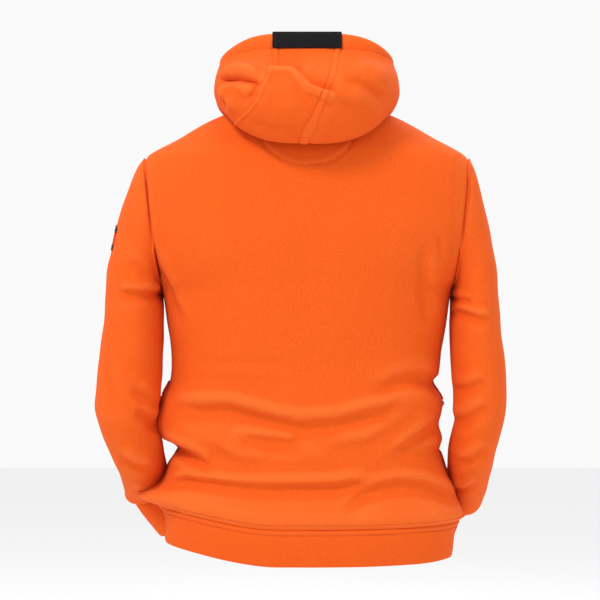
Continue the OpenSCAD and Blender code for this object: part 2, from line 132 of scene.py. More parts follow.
def foldHeight(folds, x, z):
    # sum of folds; each is a groove along its path, sharper on one side than on the other,
    # with a swelling on each side of it, and fades out at its ends
    total = np.zeros(np.shape(x))
    for f in folds.values():
        d, share = alongPath(f["path"], x, z)
        fade = ease(np.minimum(share, 1 - share) / f.get("fade", 0.25) + f.get("ends", 0))
        above, below = f["wide"]
        groove = -f["deep"] * np.where(d > 0, bell(d, above), bell(d, below))
        rise = f.get("over", 0) * bell(d - above * 2.1, above * 1.6) + f.get("under", 0) * bell(d + below * 2.1,
                                                                                                below * 1.6)
        total += fade * (groove + rise)
    return total


# Form of the body
def trunk(t):
    return mix(hemTop, armpitZ, t)


def bodyHalfWidth(z):
    c, s, n, a = size["halfChest"], size["halfShoulder"], size["halfNeck"], size["armhole"]
    drop = size["shoulderDrop"]
    return curve([
        [-size["length"], c + 7], [hemTop, c + 11], [trunk(.095), c + 10], [trunk(.185), c],
        [trunk(.25), c - 8],
        [trunk(.305), c - 13], [trunk(.364), c - 4], [trunk(.448), c + 2], [trunk(.537), c],
        [trunk(.603), c - 9],
        [trunk(.68), c - 10], [trunk(.83), c - 2], [armpitZ, armpitX], [armpitZ + .1 * a, mix(armpitX, s, .6)],
        [armpitZ + .27 * a, s + 10], [armpitZ + .5 * a, s + 21], [armpitZ + .73 * a, s + 19], [-drop, s],
        [-drop * .55, mix(n, s, .68)], [-drop * .05, mix(n, s, .3)], [size["sideNeck"], n]], z)


def backDepth(z):
    drop = size["shoulderDrop"]
    return size["chestDepth"] / 2 + curve([
        [-size["length"], 2], [hemTop, 6], [trunk(.2), 1], [trunk(.5), 1], [trunk(.7), -3], [armpitZ, 5],
        [armpitZ + .5 * size["armhole"], 11], [-drop, -6], [-drop / 2, -22], [0, -46],
        [size["sideNeck"], -57]], z)


def frontDepth(z):
    drop = size["shoulderDrop"]
    return size["chestDepth"] / 2 + curve([
        [-size["length"], -8], [hemTop, -5], [trunk(.5), -3], [armpitZ, 0],
        [armpitZ + .5 * size["armhole"], -1],
        [-drop - 20, -16], [-drop, -22], [-drop / 2, -36], [0, -48], [size["sideNeck"], -55]], z)


def depthAt(x, width, depth):  # superellipse: depth times (1 - (x / width)^p)^(1 / p)
    p = size["squareness"]
    return depth * np.maximum(0, 1 - np.minimum(1, np.abs(x) / width) ** p) ** (1 / p)


def backY(x, z):
    return -depthAt(x, bodyHalfWidth(z), backDepth(z))


def frontY(x, z):
    return depthAt(x, bodyHalfWidth(z), frontDepth(z))


def edgeX(z):  # distance of the armhole plane, or of the body's side, from the middle
    inArmhole = (z > armpitZ) & (z < -size["shoulderDrop"])
    return np.where(inArmhole, mix(armpitX, size["halfShoulder"], (z - armpitZ) / size["armhole"]),
                    bodyHalfWidth(z))


def shoulderZ(x):  # height where the shoulder line is as wide as x, found by halving
    low, high = np.full(np.shape(x), -size["shoulderDrop"]), np.full(np.shape(x), size["sideNeck"])
    for _ in range(26):
        middle = (low + high) / 2
        wider = bodyHalfWidth(middle) > x
        low, high = np.where(wider, middle, low), np.where(wider, high, middle)
    return middle


def neckHeight(a, front):  # height of the neckline at the angle a from the middle
    a = np.abs(a) * degree
    if front:
        return mix(size["sideNeck"], -size["neckDrop"], ease(np.maximum(0, np.cos(a)) ** .8))
    return mix(size["backNeck"], size["sideNeck"], np.sin(a) ** 2)


def panelPoint(u, v, front):
    # u goes from side to side and v from the hem seam to the upper edge, which is the
    # neckline for |u| under 0.4 and the shoulder line beyond it; rows gather upwards
    neckShare = 0.4
    turn = 90 * np.clip(u / neckShare, -1, 1)
    beyond = np.clip((np.abs(u) - neckShare) / (1 - neckShare), 0, 1)
    onNeck = np.abs(u) <= neckShare
    shoulderX = mix(size["halfNeck"], size["halfShoulder"], beyond)
    topX = np.where(onNeck, size["halfNeck"] * np.sin(turn * degree), np.sign(u) * shoulderX)
    topZ = np.where(onNeck, neckHeight(turn, front), shoulderZ(shoulderX))
    rise = 1 - np.maximum(0, 1 - v) ** 1.9
    z = mix(hemTop + 0.1, topZ, rise)
    sideZ = mix(hemTop + 0.1, -size["shoulderDrop"], rise)
    share = mix(power(np.sin(90 * u * degree), 2 / size["squareness"]), topX / size["halfShoulder"],
                ease((rise - .25) / .75))
    x = share * edgeX(sideZ)
    return np.stack([x, frontY(x, z) if front else backY(x, z), z], -1)


# How the body hangs
hang = {
    "leftHemLift": 22.0,     # the hem rides up on the wearer's left
    "leftShift": [[-640, -4], [-615, -8], [-600, -4], [-584, 13], [-574, 13], [-551, 0], [-520, 0], [-491, -2],
                  [-473, 12], [-456, 17], [-437, 13], [-414, 7], [-375, 4], [-330, 0], [-290, 0]],
    "rightShift": [[-640, 1], [-615, 1], [-600, 6], [-588, 10], [-570, 5], [-530, 2], [-495, 3], [-475, 0],
                   [-452, -12], [-437, -10], [-420, -7], [-403, -11], [-390, -12], [-378, -1], [-340, 0],
                   [-290, 0]],
}


def settle(p):
    # the sides shift outwards or inwards by the two tables, fading to nothing at the
    # middle, and the lower left rises
    x, z = p[..., 0], p[..., 2]
    share = np.clip(np.abs(x) / np.maximum(bodyHalfWidth(z), 1), 0, 1.1)
    shift = np.where(x < 0, -curve(hang["leftShift"], z), curve(hang["rightShift"], z))
    lift = hang["leftHemLift"] * ease((-x - 40) / 190) * ease((-470 - z) / 110)
    moved = p.copy()
    moved[..., 0] = x + shift * share ** 5
    moved[..., 2] = z + lift
    return moved


backFolds = {   # creases of the back, [x, z] from left to right; "over" swells above, "under" below
    "main": dict(path=[[-196, -421], [-152, -425], [-109, -422], [-77, -430], [-41, -440], [-10, -445],
                       [38, -442],
                       [74, -433], [107, -425], [126, -415], [146, -401]], deep=8, wide=(7, 20), over=6,
                       under=1, fade=.14),
    "ridgeLeft": dict(path=[[-176, -404], [-126, -404], [-102, -409], [-77, -416], [-44, -432]], deep=-4.5,
                      wide=(12, 9), fade=.3),
    "faintHigh": dict(path=[[-170, -357], [-95, -356], [-5, -357]], deep=1.6, wide=(5, 9), fade=.3),
    "shade": dict(path=[[-180, -394], [-94, -390], [0, -391]], deep=3, wide=(16, 14), fade=.3),
    "rightUpper": dict(path=[[196, -388], [146, -385], [127, -390], [107, -402], [92, -416]], deep=5,
                       wide=(7, 11), over=3, under=3, fade=.25),
    "eye": dict(path=[[-106, -470], [-99, -456], [-82, -452], [-45, -456], [-5, -462]], deep=-5, wide=(9, 7),
                fade=.25),
    "eyeUnder": dict(path=[[-92, -466], [-45, -470], [0, -472]], deep=4.5, wide=(6, 12), fade=.3),
    "diagonal": dict(path=[[-205, -478], [-187, -486], [-168, -495], [-138, -512]], deep=8, wide=(7, 9), over=4,
                     under=3, fade=.3, ends=.2),
    "crescent": dict(path=[[-140, -474], [-114, -497], [-89, -504], [-48, -498]], deep=3.5, wide=(9, 14),
                     over=2, fade=.3),
    "softDiagonal": dict(path=[[10, -480], [53, -479], [87, -475], [136, -450], [172, -424]], deep=4.5,
                         wide=(12, 14), over=3, fade=.3),
    "rightValley": dict(path=[[120, -489], [136, -481], [156, -469], [198, -450]], deep=6, wide=(8, 10), over=3,
                        fade=.3, ends=.1),
    "longLow": dict(path=[[-205, -556], [-188, -547], [-171, -538], [-94, -534], [-10, -533], [38, -532],
                          [100, -524]],
                    deep=6.5, wide=(5, 11), over=4.5, under=1.5, fade=.12),
    "rightLow": dict(path=[[46, -562], [74, -546], [99, -535], [126, -531], [162, -535], [188, -546],
                           [222, -570]],
                     deep=5.5, wide=(6, 10), over=3.5, under=2, fade=.2),
    "lipLeft": dict(path=[[-238, -578], [-205, -580], [-172, -572]], deep=-9, wide=(13, 6), fade=.35, ends=.25),
    "lipUnder": dict(path=[[-240, -592], [-205, -594], [-172, -586]], deep=3, wide=(3, 6), fade=.3, ends=.2),
    "underarmRight": dict(path=[[168, -180], [164, -215], [166, -250], [171, -280], [178, -318]], deep=5,
                          wide=(8, 10), over=2.5, fade=.3),
    "underarmRightHigh": dict(path=[[188, -176], [191, -216]], deep=2.2, wide=(4, 5), fade=.35),
    "armpitLeft": dict(path=[[-224, -180], [-217, -218], [-194, -273], [-174, -312]], deep=4, wide=(7, 9),
                       over=2.5, fade=.3),
    "armpitLeftLow": dict(path=[[-222, -222], [-205, -245], [-190, -272]], deep=3.5, wide=(5, 7), fade=.3),
    "bladeLeft": dict(path=[[-150, -120], [-135, -190], [-120, -250]], deep=-3, wide=(40, 40), fade=.4),
    "bladeRight": dict(path=[[150, -120], [138, -190], [118, -250]], deep=-3, wide=(40, 40), fade=.4),
    "spine": dict(path=[[0, -110], [0, -200], [0, -330]], deep=3, wide=(38, 38), fade=.4),
}
frontFolds = {  # quieter folds of the front, of the same kinds
    "overPouch": dict(path=[[-150, -378], [-60, -386], [50, -384], [150, -374]], deep=5, wide=(10, 16), over=4,
                      fade=.25),
    "leftDrag": dict(path=[[-196, -300], [-150, -336], [-96, -352]], deep=4, wide=(8, 10), over=3, fade=.3),
    "rightDrag": dict(path=[[196, -296], [150, -330], [100, -350]], deep=4, wide=(8, 10), over=3, fade=.3),
    "leftLow": dict(path=[[-206, -520], [-178, -545], [-150, -566]], deep=4, wide=(7, 10), over=3, fade=.3),
    "rightLow": dict(path=[[206, -520], [178, -545], [152, -566]], deep=4, wide=(7, 10), over=3, fade=.3),
    "neckLeft": dict(path=[[-150, -150], [-90, -120], [-40, -104]], deep=3, wide=(12, 14), fade=.35),
    "neckRight": dict(path=[[150, -150], [90, -120], [40, -104]], deep=3, wide=(12, 14), fade=.35),
}
moonLine = [[-67, -36], [-62, -49], [-54, -59], [-42, -69], [-24, -78], [-2, -81], [25, -78], [39, -73],
            [52, -63], [62, -51], [68, -36]]


def bodyHeight(p, front):
    # height of the cloth over the plain form: folds, soft waves towards the hem, and the
    # swell just above the hem band
    x, z = p[..., 0], p[..., 2]
    low = ease((-330 - z) / 160)
    swell = 5.5 * bell(z - (hemTop + 17), 15) * ease((z - hemTop) / 10)
    waves = (0.9 + 1.6 * low) * ripple(p, 90, 3 if front else 5) * ease((z - hemTop) / 60)
    if front:
        return foldHeight(frontFolds, x, z) + swell * 0.7 + waves
    moon, _ = alongPath(moonLine, x, z)
    return foldHeight(backFolds, x, z) + swell * 0.6 + waves * 0.6 - 1.5 * bell(moon,
                                                                                2.4) + .7 * bell(moon - 5, 4)


# Surfaces, normals and shells
ringLimits = ((-9, 9), (0, 1))   # of a closed ring, whose u may run on past its ends


def normalAt(surface, u, v, uLimits, vLimits, step=0.003):
    # unit cross product of the surface's slopes along u and along v
    along = surface(np.minimum(u + step, uLimits[1]), v) - surface(np.maximum(u - step, uLimits[0]), v)
    across = surface(u, np.minimum(v + step, vLimits[1])) - surface(u, np.maximum(v - step, vLimits[0]))
    n = np.cross(along, across)
    return n / np.maximum(np.linalg.norm(n, axis=-1, keepdims=True), 1e-9)


def raised(surface, height, uLimits, vLimits):
    # the surface moved along its normal by the height worked out from each place
    def moved(u, v):
        p = surface(u, v)
        return p + normalAt(surface, u, v, uLimits, vLimits) * height(p, u, v)[..., None]
    return moved


def gridNormals(p, closed):
    if closed:
        along = np.roll(p, -1, axis=1) - np.roll(p, 1, axis=1)
    else:
        along = np.gradient(p, axis=1)
    n = np.cross(along, np.gradient(p, axis=0))
    return n / np.maximum(np.linalg.norm(n, axis=-1, keepdims=True), 1e-9)


def strip(a, b):  # quads between two equally long rows of vertex numbers, facing along a x (b - a)
    return np.stack([a[:-1], a[1:], b[1:], b[:-1]], -1).reshape(-1, 4)


def addMesh(name, points, quads, material, uv=None, wearAndHighlight=None, around=0, smoothBelow=50):
    mesh = bpy.data.meshes.new(name)
    mesh.vertices.add(len(points))
    mesh.vertices.foreach_set("co", (points * toMetres).astype(np.float32).ravel())
    mesh.loops.add(quads.size)
    mesh.loops.foreach_set("vertex_index", quads.astype(np.int32).ravel())
    mesh.polygons.add(len(quads))
    mesh.polygons.foreach_set("loop_start", np.arange(0, quads.size, quads.shape[1], dtype=np.int32))
    mesh.update(calc_edges=True)
    mesh.polygons.foreach_set("use_smooth", np.ones(len(quads), bool))
    if uv is not None:
        layer = mesh.uv_layers.new(name="cloth")
        corners = uv[quads]
        if around:   # faces that close a ring run on past its end instead of back to its start
            wide = np.ptp(corners[..., 0], axis=1, keepdims=True) > around / 2
            corners[..., 0] += np.where(wide & (corners[..., 0] < around / 2), around, 0)
        layer.data.foreach_set("uv", (corners.reshape(-1, 2) * toMetres).astype(np.float32).ravel())
    # how far each place stands out, for the paler colour on ridges: partly from rubbing, partly painted highlight
    spread = mesh.attributes.new("wearAndHighlight", "FLOAT", "POINT")
    spread.data.foreach_set("value",
                            np.zeros(len(points), np.float32) if wearAndHighlight is None else wearAndHighlight.astype(np.float32))
    mesh.set_sharp_from_angle(angle=smoothBelow * degree)
    mesh.materials.append(material)
    mesh.validate()
    piece = bpy.data.objects.new(name, mesh)
    bpy.context.scene.collection.objects.link(piece)
    return piece


rimBulge = 0.38   # how far a cut edge stands out, as a share of the cloth's thickness


def shell(name, surface, grid, layer, material, uLimits=(-1, 1), vLimits=(0, 1), closed=False):
    # cloth between two offsets along the normal of surface(u, v), on a grid of columns by
    # rows; its edges are closed by a strip with a row of its own, pushed out so it rounds
    columns, rows = grid
    u = np.linspace(uLimits[0], uLimits[1], columns + 1)[: columns if closed else columns + 1]
    v = np.linspace(vLimits[0], vLimits[1], rows + 1)
    gridU, gridV = np.meshgrid(u, v)
    p = surface(gridU, gridV)
    n = gridNormals(p, closed)
    inner, outer = layer
    count = gridU.size
    ids = np.arange(count).reshape(gridU.shape)
    wrap = np.concatenate([ids, ids[:, :1]], axis=1) if closed else ids
    outside = np.stack([wrap[:-1, :-1], wrap[:-1, 1:], wrap[1:, 1:], wrap[1:, :-1]], -1).reshape(-1, 4)
    points = [(p + n * outer).reshape(-1, 3), (p + n * inner).reshape(-1, 3)]
    quads = [outside, outside[:, ::-1] + count]
    length = np.linalg.norm(np.diff(p, axis=0), axis=-1)
    upV = np.concatenate([np.zeros((1, gridU.shape[1])), np.cumsum(length, 0)])
    reach = np.linalg.norm(np.diff(p, axis=1), axis=-1)
    alongU = np.concatenate([np.zeros((gridU.shape[0], 1)), np.cumsum(reach, 1)], axis=1)
    alongU = alongU - (0 if closed else alongU.mean(axis=1, keepdims=True))
    flat = np.stack([alongU, upV], -1).reshape(-1, 2)
    uv = [flat, flat]
    edges = [(wrap[0], p[0], p[0] - p[1], False), (wrap[-1], p[-1], p[-1] - p[-2], True)]
    if not closed:
        edges += [(ids[:, 0], p[:, 0], p[:, 0] - p[:, 1], True),
                  (ids[:, -1], p[:, -1], p[:, -1] - p[:, -2], False)]
    start = 2 * count
    for rim, at, out, flip in edges:
        out = out / np.maximum(np.linalg.norm(out, axis=-1, keepdims=True), 1e-9)
        normal = n.reshape(-1, 3)[rim]
        if len(at) < len(rim):
            at, out = np.concatenate([at, at[:1]]), np.concatenate([out, out[:1]])
        points.append(at + normal * (inner + outer) / 2 + out * (outer - inner) * rimBulge)
        uv.append(flat[rim])
        middle = np.arange(start, start + len(rim))
        if closed:
            middle[-1] = middle[0]
        start += len(rim)
        for low, high in ((rim + count, middle), (middle, rim)):
            ring = strip(low, high)
            quads.append(ring[:, ::-1] if flip else ring)
    points, uv, quads = np.concatenate(points), np.concatenate(uv), np.concatenate(quads)
    used = np.unique(quads)
    renumber = np.zeros(len(points), int)
    renumber[used] = np.arange(len(used))
    bend = np.zeros(len(points))
    # ridge heights of the outer face: ridges are painted paler, partly from rubbing and partly as painted highlight
    bend[:count] = wearAndHighlightOf(p, n, closed).ravel()
    return addMesh(name, points[used], renumber[quads], material, uv[used], bend[used],
                   around=alongU[:, -1].mean() if closed else 0)


def wearAndHighlightOf(p, n, closed):
    # how far a place stands out from its neighbours a few cells away: positive on ridges,
    # which the cloth's material paints paler, partly from rubbing and partly as painted highlight
    far = 4
    if closed:
        around = (np.roll(p, far, 1) + np.roll(p, -far, 1)) / 2
    else:
        pad = np.pad(p, ((0, 0), (far, far), (0, 0)), mode="edge")
        around = (pad[:, : p.shape[1]] + pad[:, 2 * far:]) / 2
    tall = np.pad(p, ((far, far), (0, 0), (0, 0)), mode="edge")
    above = (tall[: p.shape[0]] + tall[2 * far:]) / 2
    return np.clip(((p - (around + above) / 2) * n).sum(-1) / 3, -1, 1)


# Sewing
stitch = {"long": 2.6, "pitch": 3.5, "thick": 0.42}


def sew(name, rows, material):
    # rows are (points, normals) along a seam; each stitch is a little capsule of thread,
    # laid on the cloth every pitch: rings of five points, narrow at both ends
    ringAt = np.array([-0.5, -0.3, 0.3, 0.5])
    ringWide = np.array([0.35, 1, 1, 0.35])
    turn = np.arange(5) * 72 * degree
    centres, ways, normals = [], [], []
    for points, up in rows:
        gap = np.concatenate([[0], np.cumsum(np.linalg.norm(np.diff(points, axis=0), axis=1))])
        at = np.arange(1, gap[-1] - 1, stitch["pitch"])
        if len(at) == 0:
            continue
        place = np.stack([np.interp(at, gap, points[:, i]) for i in range(3)], -1)
        ahead = np.stack([np.interp(at + 0.6, gap, points[:, i]) for i in range(3)], -1)
        behind = np.stack([np.interp(at - 0.6, gap, points[:, i]) for i in range(3)], -1)
        way = ahead - behind
        centres.append(place)
        ways.append(way / np.linalg.norm(way, axis=1, keepdims=True))
        n = np.stack([np.interp(at, gap, up[:, i]) for i in range(3)], -1)
        normals.append(n / np.linalg.norm(n, axis=1, keepdims=True))
    c, w, n = np.concatenate(centres), np.concatenate(ways), np.concatenate(normals)
    side = np.cross(w, n)
    count = len(c)
    radius = stitch["thick"]
    # axes: stitch, ring along it, point round the ring, coordinate
    c, w, side, n = (a[:, None, None] for a in (c, w, side, n))
    along, wide = (ringAt * stitch["long"])[None, :, None, None], ringWide[None, :, None, None]
    across, up = ((f(turn) * radius)[None, None, :, None] for f in (np.cos, np.sin))
    p = c + n * radius * 0.35 + w * along + side * across * wide + n * up * wide
    points = p.reshape(-1, 3)
    one = np.arange(20).reshape(4, 5)
    turned = np.roll(one, -1, 1)
    sides = np.stack([one[:-1], turned[:-1], turned[1:], one[1:]], -1).reshape(-1, 4)
    tris = np.concatenate([sides[:, [0, 1, 2]], sides[:, [0, 2, 3]], [[0, 3, 4], [0, 2, 3], [0, 1, 2]],
                           [[15, 17, 16], [15, 18, 17], [15, 19, 18]]])[:, ::-1]
    faces = (tris[None] + (np.arange(count) * 20)[:, None, None]).reshape(-1, 3)
    return addMesh(name, points, faces, material)


def seamRow(surface, u, v, uLimits=(-1, 1), vLimits=(0, 1), lift=0.0):
    # the places and normals along a line on a surface, for sew()
    u, v = np.broadcast_arrays(np.asarray(u, float), np.asarray(v, float))
    n = normalAt(surface, u, v, uLimits, vLimits)
    return surface(u, v) + n * lift, n


# Materials
def toLinear(hexColour):  # sRGB hex to linear colour with alpha
    c = np.array([int(hexColour[i:i + 2], 16) for i in (1, 3, 5)]) / 255
    return (*np.where(c <= 0.04045, c / 12.92, ((c + 0.055) / 1.055) ** 2.4), 1.0)


def addNode(tree, kind, inputs=None, **settings):
    node = tree.nodes.new("ShaderNode" + kind)
    for key, value in settings.items():
        setattr(node, key, value)
    for key, value in (inputs or {}).items():
        if isinstance(value, bpy.types.NodeSocket):
            tree.links.new(value, node.inputs[key])
        else:
            node.inputs[key].default_value = value
    return node


def clothMaterial(name, look):
    # woven or knitted cloth: two crossing waves for its ribs and rows, a fine noise for the
    # fuzz, and a broad noise for uneven dye; what stands out is painted paler, partly from
    # rubbing and partly as painted highlight
    material = bpy.data.materials.new(name)
    material.use_nodes = True
    tree = material.node_tree
    tree.nodes.clear()
    place = addNode(tree, "TexCoord").outputs["Object"]
    flat = addNode(tree, "UVMap", uv_map="cloth").outputs["UV"] if look.get("alongCloth", True) else place
    perMetre = 0.314159 * 1000       # a wave of scale 1 is 0.314 m long
    ribs = addNode(tree, "TexWave",
                   {"Vector": flat, "Scale": perMetre / look["rib"], "Distortion": look.get("bent", 1.2),
                                     "Detail": 1.0, "Detail Scale": 1.5}, bands_direction="X")
    rows = addNode(tree, "TexWave",
                   {"Vector": flat, "Scale": perMetre / look["row"], "Distortion": look.get("bent", 1.2),
                                     "Detail": 1.0, "Detail Scale": 1.5}, bands_direction="Y")
    fuzz = addNode(tree, "TexNoise",
                   {"Vector": place, "Scale": 1000 / look["fuzz"], "Detail": 3.0, "Roughness": 0.65})
    dye = addNode(tree, "TexNoise",
                  {"Vector": place, "Scale": 1000 / look["dye"], "Detail": 2.0, "Roughness": 0.5})
    weave = addNode(tree, "Math", {0: ribs.outputs["Fac"], 1: rows.outputs["Fac"]}, operation="MULTIPLY")
    fuzzy = addNode(tree, "Mix", {0: 1.0 - look["weaveShare"], 2: weave.outputs[0], 3: fuzz.outputs["Fac"]},
                    data_type="FLOAT")
    shade = addNode(tree, "MapRange", {"Value": fuzzy.outputs[0], "From Min": 0.25, "From Max": 0.75})
    cloth = addNode(tree, "Mix",
                    {"Factor": shade.outputs[0], 6: toLinear(look["low"]), 7: toLinear(look["high"])},
                    data_type="RGBA")
    uneven = addNode(tree, "MapRange",
                     {"Value": dye.outputs["Fac"], "From Min": 0.3, "From Max": 0.7, "To Max": look["uneven"]})
    dyed = addNode(tree, "Mix", {"Factor": uneven.outputs[0], 6: cloth.outputs[2], 7: toLinear(look["dyed"])},
                   data_type="RGBA")
    # ridges take a paler colour: partly from rubbing, partly painted highlight
    ridge = addNode(tree, "Attribute", attribute_name="wearAndHighlight")
    wearAndHighlightShare = addNode(tree, "MapRange",
                     {"Value": ridge.outputs["Fac"], "From Min": 0.05, "From Max": 0.9,
                      "To Max": look["wearAndHighlightShare"]})
    worn = addNode(tree, "Mix", {"Factor": wearAndHighlightShare.outputs[0], 6: dyed.outputs[2], 7: toLinear(look["worn"])},
                   data_type="RGBA")
    bump = addNode(tree, "Bump",
                   {"Height": fuzzy.outputs[0], "Strength": look["bump"],
                    "Distance": look["relief"] * toMetres})
    shader = addNode(tree, "BsdfPrincipled", {
        "Base Color": worn.outputs[2], "Roughness": look["rough"], "IOR": 1.5,
        "Specular IOR Level": look["gloss"], "Sheen Weight": look["sheen"], "Sheen Roughness": 0.55,
        "Sheen Tint": toLinear(look["sheenTint"]), "Normal": bump.outputs["Normal"]})
    addNode(tree, "OutputMaterial", {"Surface": shader.outputs["BSDF"]})
    return material


def metalMaterial(name, look):  # pressed and plated steel: fine marks of the press, slight tarnish
    material = bpy.data.materials.new(name)
    material.use_nodes = True
    tree = material.node_tree
    tree.nodes.clear()
    place = addNode(tree, "TexCoord").outputs["Object"]
    marks = addNode(tree, "TexNoise", {"Vector": place, "Scale": 1000 / look["marks"], "Detail": 4.0})
    tone = addNode(tree, "Mix",
                   {"Factor": marks.outputs["Fac"], 6: toLinear(look["low"]), 7: toLinear(look["high"])},
                   data_type="RGBA")
    rough = addNode(tree, "MapRange", {"Value": marks.outputs["Fac"], "To Min": 0.25, "To Max": 0.45})
    bump = addNode(tree, "Bump", {"Height": marks.outputs["Fac"], "Strength": 0.15, "Distance": 0.0001})
    shader = addNode(tree, "BsdfPrincipled",
                     {"Base Color": tone.outputs[2], "Metallic": 1.0, "Roughness": rough.outputs[0],
                                              "Normal": bump.outputs["Normal"]})
    addNode(tree, "OutputMaterial", {"Surface": shader.outputs["BSDF"]})
    return material


# Cotton and polyester fleece knit, plain smooth face outside. Its wales are about 1 mm
# apart; they are drawn at 1.9 mm, as fine as still shows.
# the paler colour given to ridges stands partly for rubbing and partly for painted highlight
fleeceLook = dict(rib=1.9, row=1.6, fuzz=2.4, dye=22, weaveShare=.35, low="#da4c10", high="#f26e22",
                  dyed="#e05816", uneven=.7,
                  worn="#f8803c", wearAndHighlightShare=.3, bump=.8, relief=.5, rough=.93, gloss=.14, sheen=.06,
                  sheenTint="#ffb070")
looks = {
    "fleeceKnit": fleeceLook,
    # the same knit folded double for the hem band and cuffs: a touch deeper and smoother
    "foldedBandKnit": dict(fleeceLook, rib=1.7, low="#d84c10", high="#ee6820", bump=.5),
    # finer knit behind: hood lining, half moon and facings
    "liningKnit": dict(fleeceLook, rib=1.5, row=1.2, low="#c4440e", high="#d85818", dyed="#c84c10", sheen=.05,
                       bump=.35),
    # spun polyester sewing thread, dyed to match: a little glossier and darker than the cloth,
    # partly its own colour and partly painted shade along the seam lines
    "spunThread": dict(fleeceLook, rib=.8, row=.8, fuzz=.6, low="#a8320a", high="#c44410", worn="#d45824",
                       wearAndHighlightShare=.2, rough=.6, gloss=.4,
                       alongCloth=False),
    "blackThread": dict(fleeceLook, rib=.8, row=.8, fuzz=.6, low="#050506", high="#141416", dyed="#0c0c0e",
                        worn="#2a2a2e", rough=.55, gloss=.4,
                        sheen=.0, alongCloth=False),
    # herringbone cotton tape over the neck seam
    "herringboneTape": dict(fleeceLook, rib=1.4, row=2.2, bent=3.0, weaveShare=.8, low="#b93c10",
                            high="#d9541f", dyed="#c64616", bump=.8, sheen=.0),
    # woven satin, blank: dark, with some gloss
    "satinLabel": dict(fleeceLook, rib=.7, row=.9, weaveShare=.8, low="#101012", high="#222226", dyed="#18181b",
                       worn="#34343a",
                       rough=.45, gloss=.5, sheen=.0, sheenTint="#ffffff"),
    # merrowed thread border of the badge
    "blackTwill": dict(fleeceLook, rib=1.1, row=2.4, weaveShare=.7, low="#060607", high="#17171a",
                       dyed="#0d0d0f", worn="#303036",
                       rough=.7, gloss=.3, sheen=.05, bump=.9, sheenTint="#ffffff"),
    "redTwill": dict(fleeceLook, rib=1.0, row=1.0, weaveShare=.8, low="#c9340c", high="#de4614", dyed="#cf3a10",
                     bump=.6, rough=.8),
    # nylon loop tape: a mat of fine loops, nearly black, soft sheen
    "nylonLoop": dict(fleeceLook, rib=1.3, row=1.3, fuzz=.9, weaveShare=.25, low="#020203", high="#0b0b0e",
                      dyed="#050507", worn="#1c1c22",
                      wearAndHighlightShare=.2, bump=.9, relief=.6, rough=.85, gloss=.2, sheen=.04, sheenTint="#c8c8d8",
                      alongCloth=False),
}
materials = {name: clothMaterial(name, look) for name, look in looks.items()}
# nickel-plated pressed steel
materials["pressedSteel"] = metalMaterial("pressedSteel", dict(marks=.8, low="#84868c", high="#a6a8ae"))
print("materials made:", len(materials))


# Back, front and hem band
sides = (-1, 1)


def bodyCloth(front):  # u is turned round at the front, so that the normal points out there too
    turn = -1 if front else 1
    surface = raised(lambda u, v: panelPoint(turn * u, v, front),
                     lambda p, u, v: bodyHeight(p, front) + panelEdge(p), (-1, 1), (0, 1))
    return lambda u, v: settle(surface(u, v))


def panelEdge(p):
    # the cloth turns in along its seams: at the armholes, the shoulder line and the hem seam
    x, z = p[..., 0], p[..., 2]
    inArmhole = ease((z - armpitZ + 6) / 12) * ease((-size["shoulderDrop"] + 4 - z) / 6)
    arm = -1.8 * bell(edgeX(z) - np.abs(x), 2.6) * inArmhole
    hem = -1.6 * bell(z - hemTop, 2.6) + 0.6 * bell(z - hemTop - 3.6, 2.2)
    return arm + hem


def bandPoint(u, v):  # superellipse ring round the body, v from the lower edge up to the seam
    a = 2 * np.pi * u
    z = mix(-size["length"] + 0.4, hemTop - 0.1, v)
    s, c, p = np.cos(a), np.sin(a), 2 / size["squareness"]
    depth = np.where(c > 0, backDepth(z), frontDepth(z))
    return np.stack([-bodyHalfWidth(z) * power(s, p), -depth * power(c, p), z], -1)


def bandHeight(p, u, v):
    # full in the middle of its height, pinched at both edges, with small draws from the seam
    z = p[..., 2]
    low = -size["length"]
    full = 2.2 * np.sin(np.pi * np.clip((z - low) / (hemTop - low), 0, 1)) ** 0.6
    down = hemTop - z
    pinch = -2.2 * bell(down, 2.8) + 0.9 * bell(down - 3.4, 2.4) - 0.8 * bell(down - 7.5, 1.8)
    return full - 1.2 + pinch + 0.9 * ripple(p, 70, 11)


def bandCloth(u, v):
    return settle(raised(bandPoint, bandHeight, *ringLimits)(u, v))


t = size["fabric"]
backCloth, frontCloth = bodyCloth(False), bodyCloth(True)
backPanel = shell("backPanel", backCloth, (206, 222), (-t, 0), materials["fleeceKnit"])
frontPanel = shell("frontPanel", frontCloth, (170, 190), (-t, 0), materials["fleeceKnit"])
hemBand = shell("hemBand", bandCloth, (420, 40), (-size["band"], 0), materials["foldedBandKnit"], (0, 1),
                (0, 1), closed=True)
print("body cloth made")

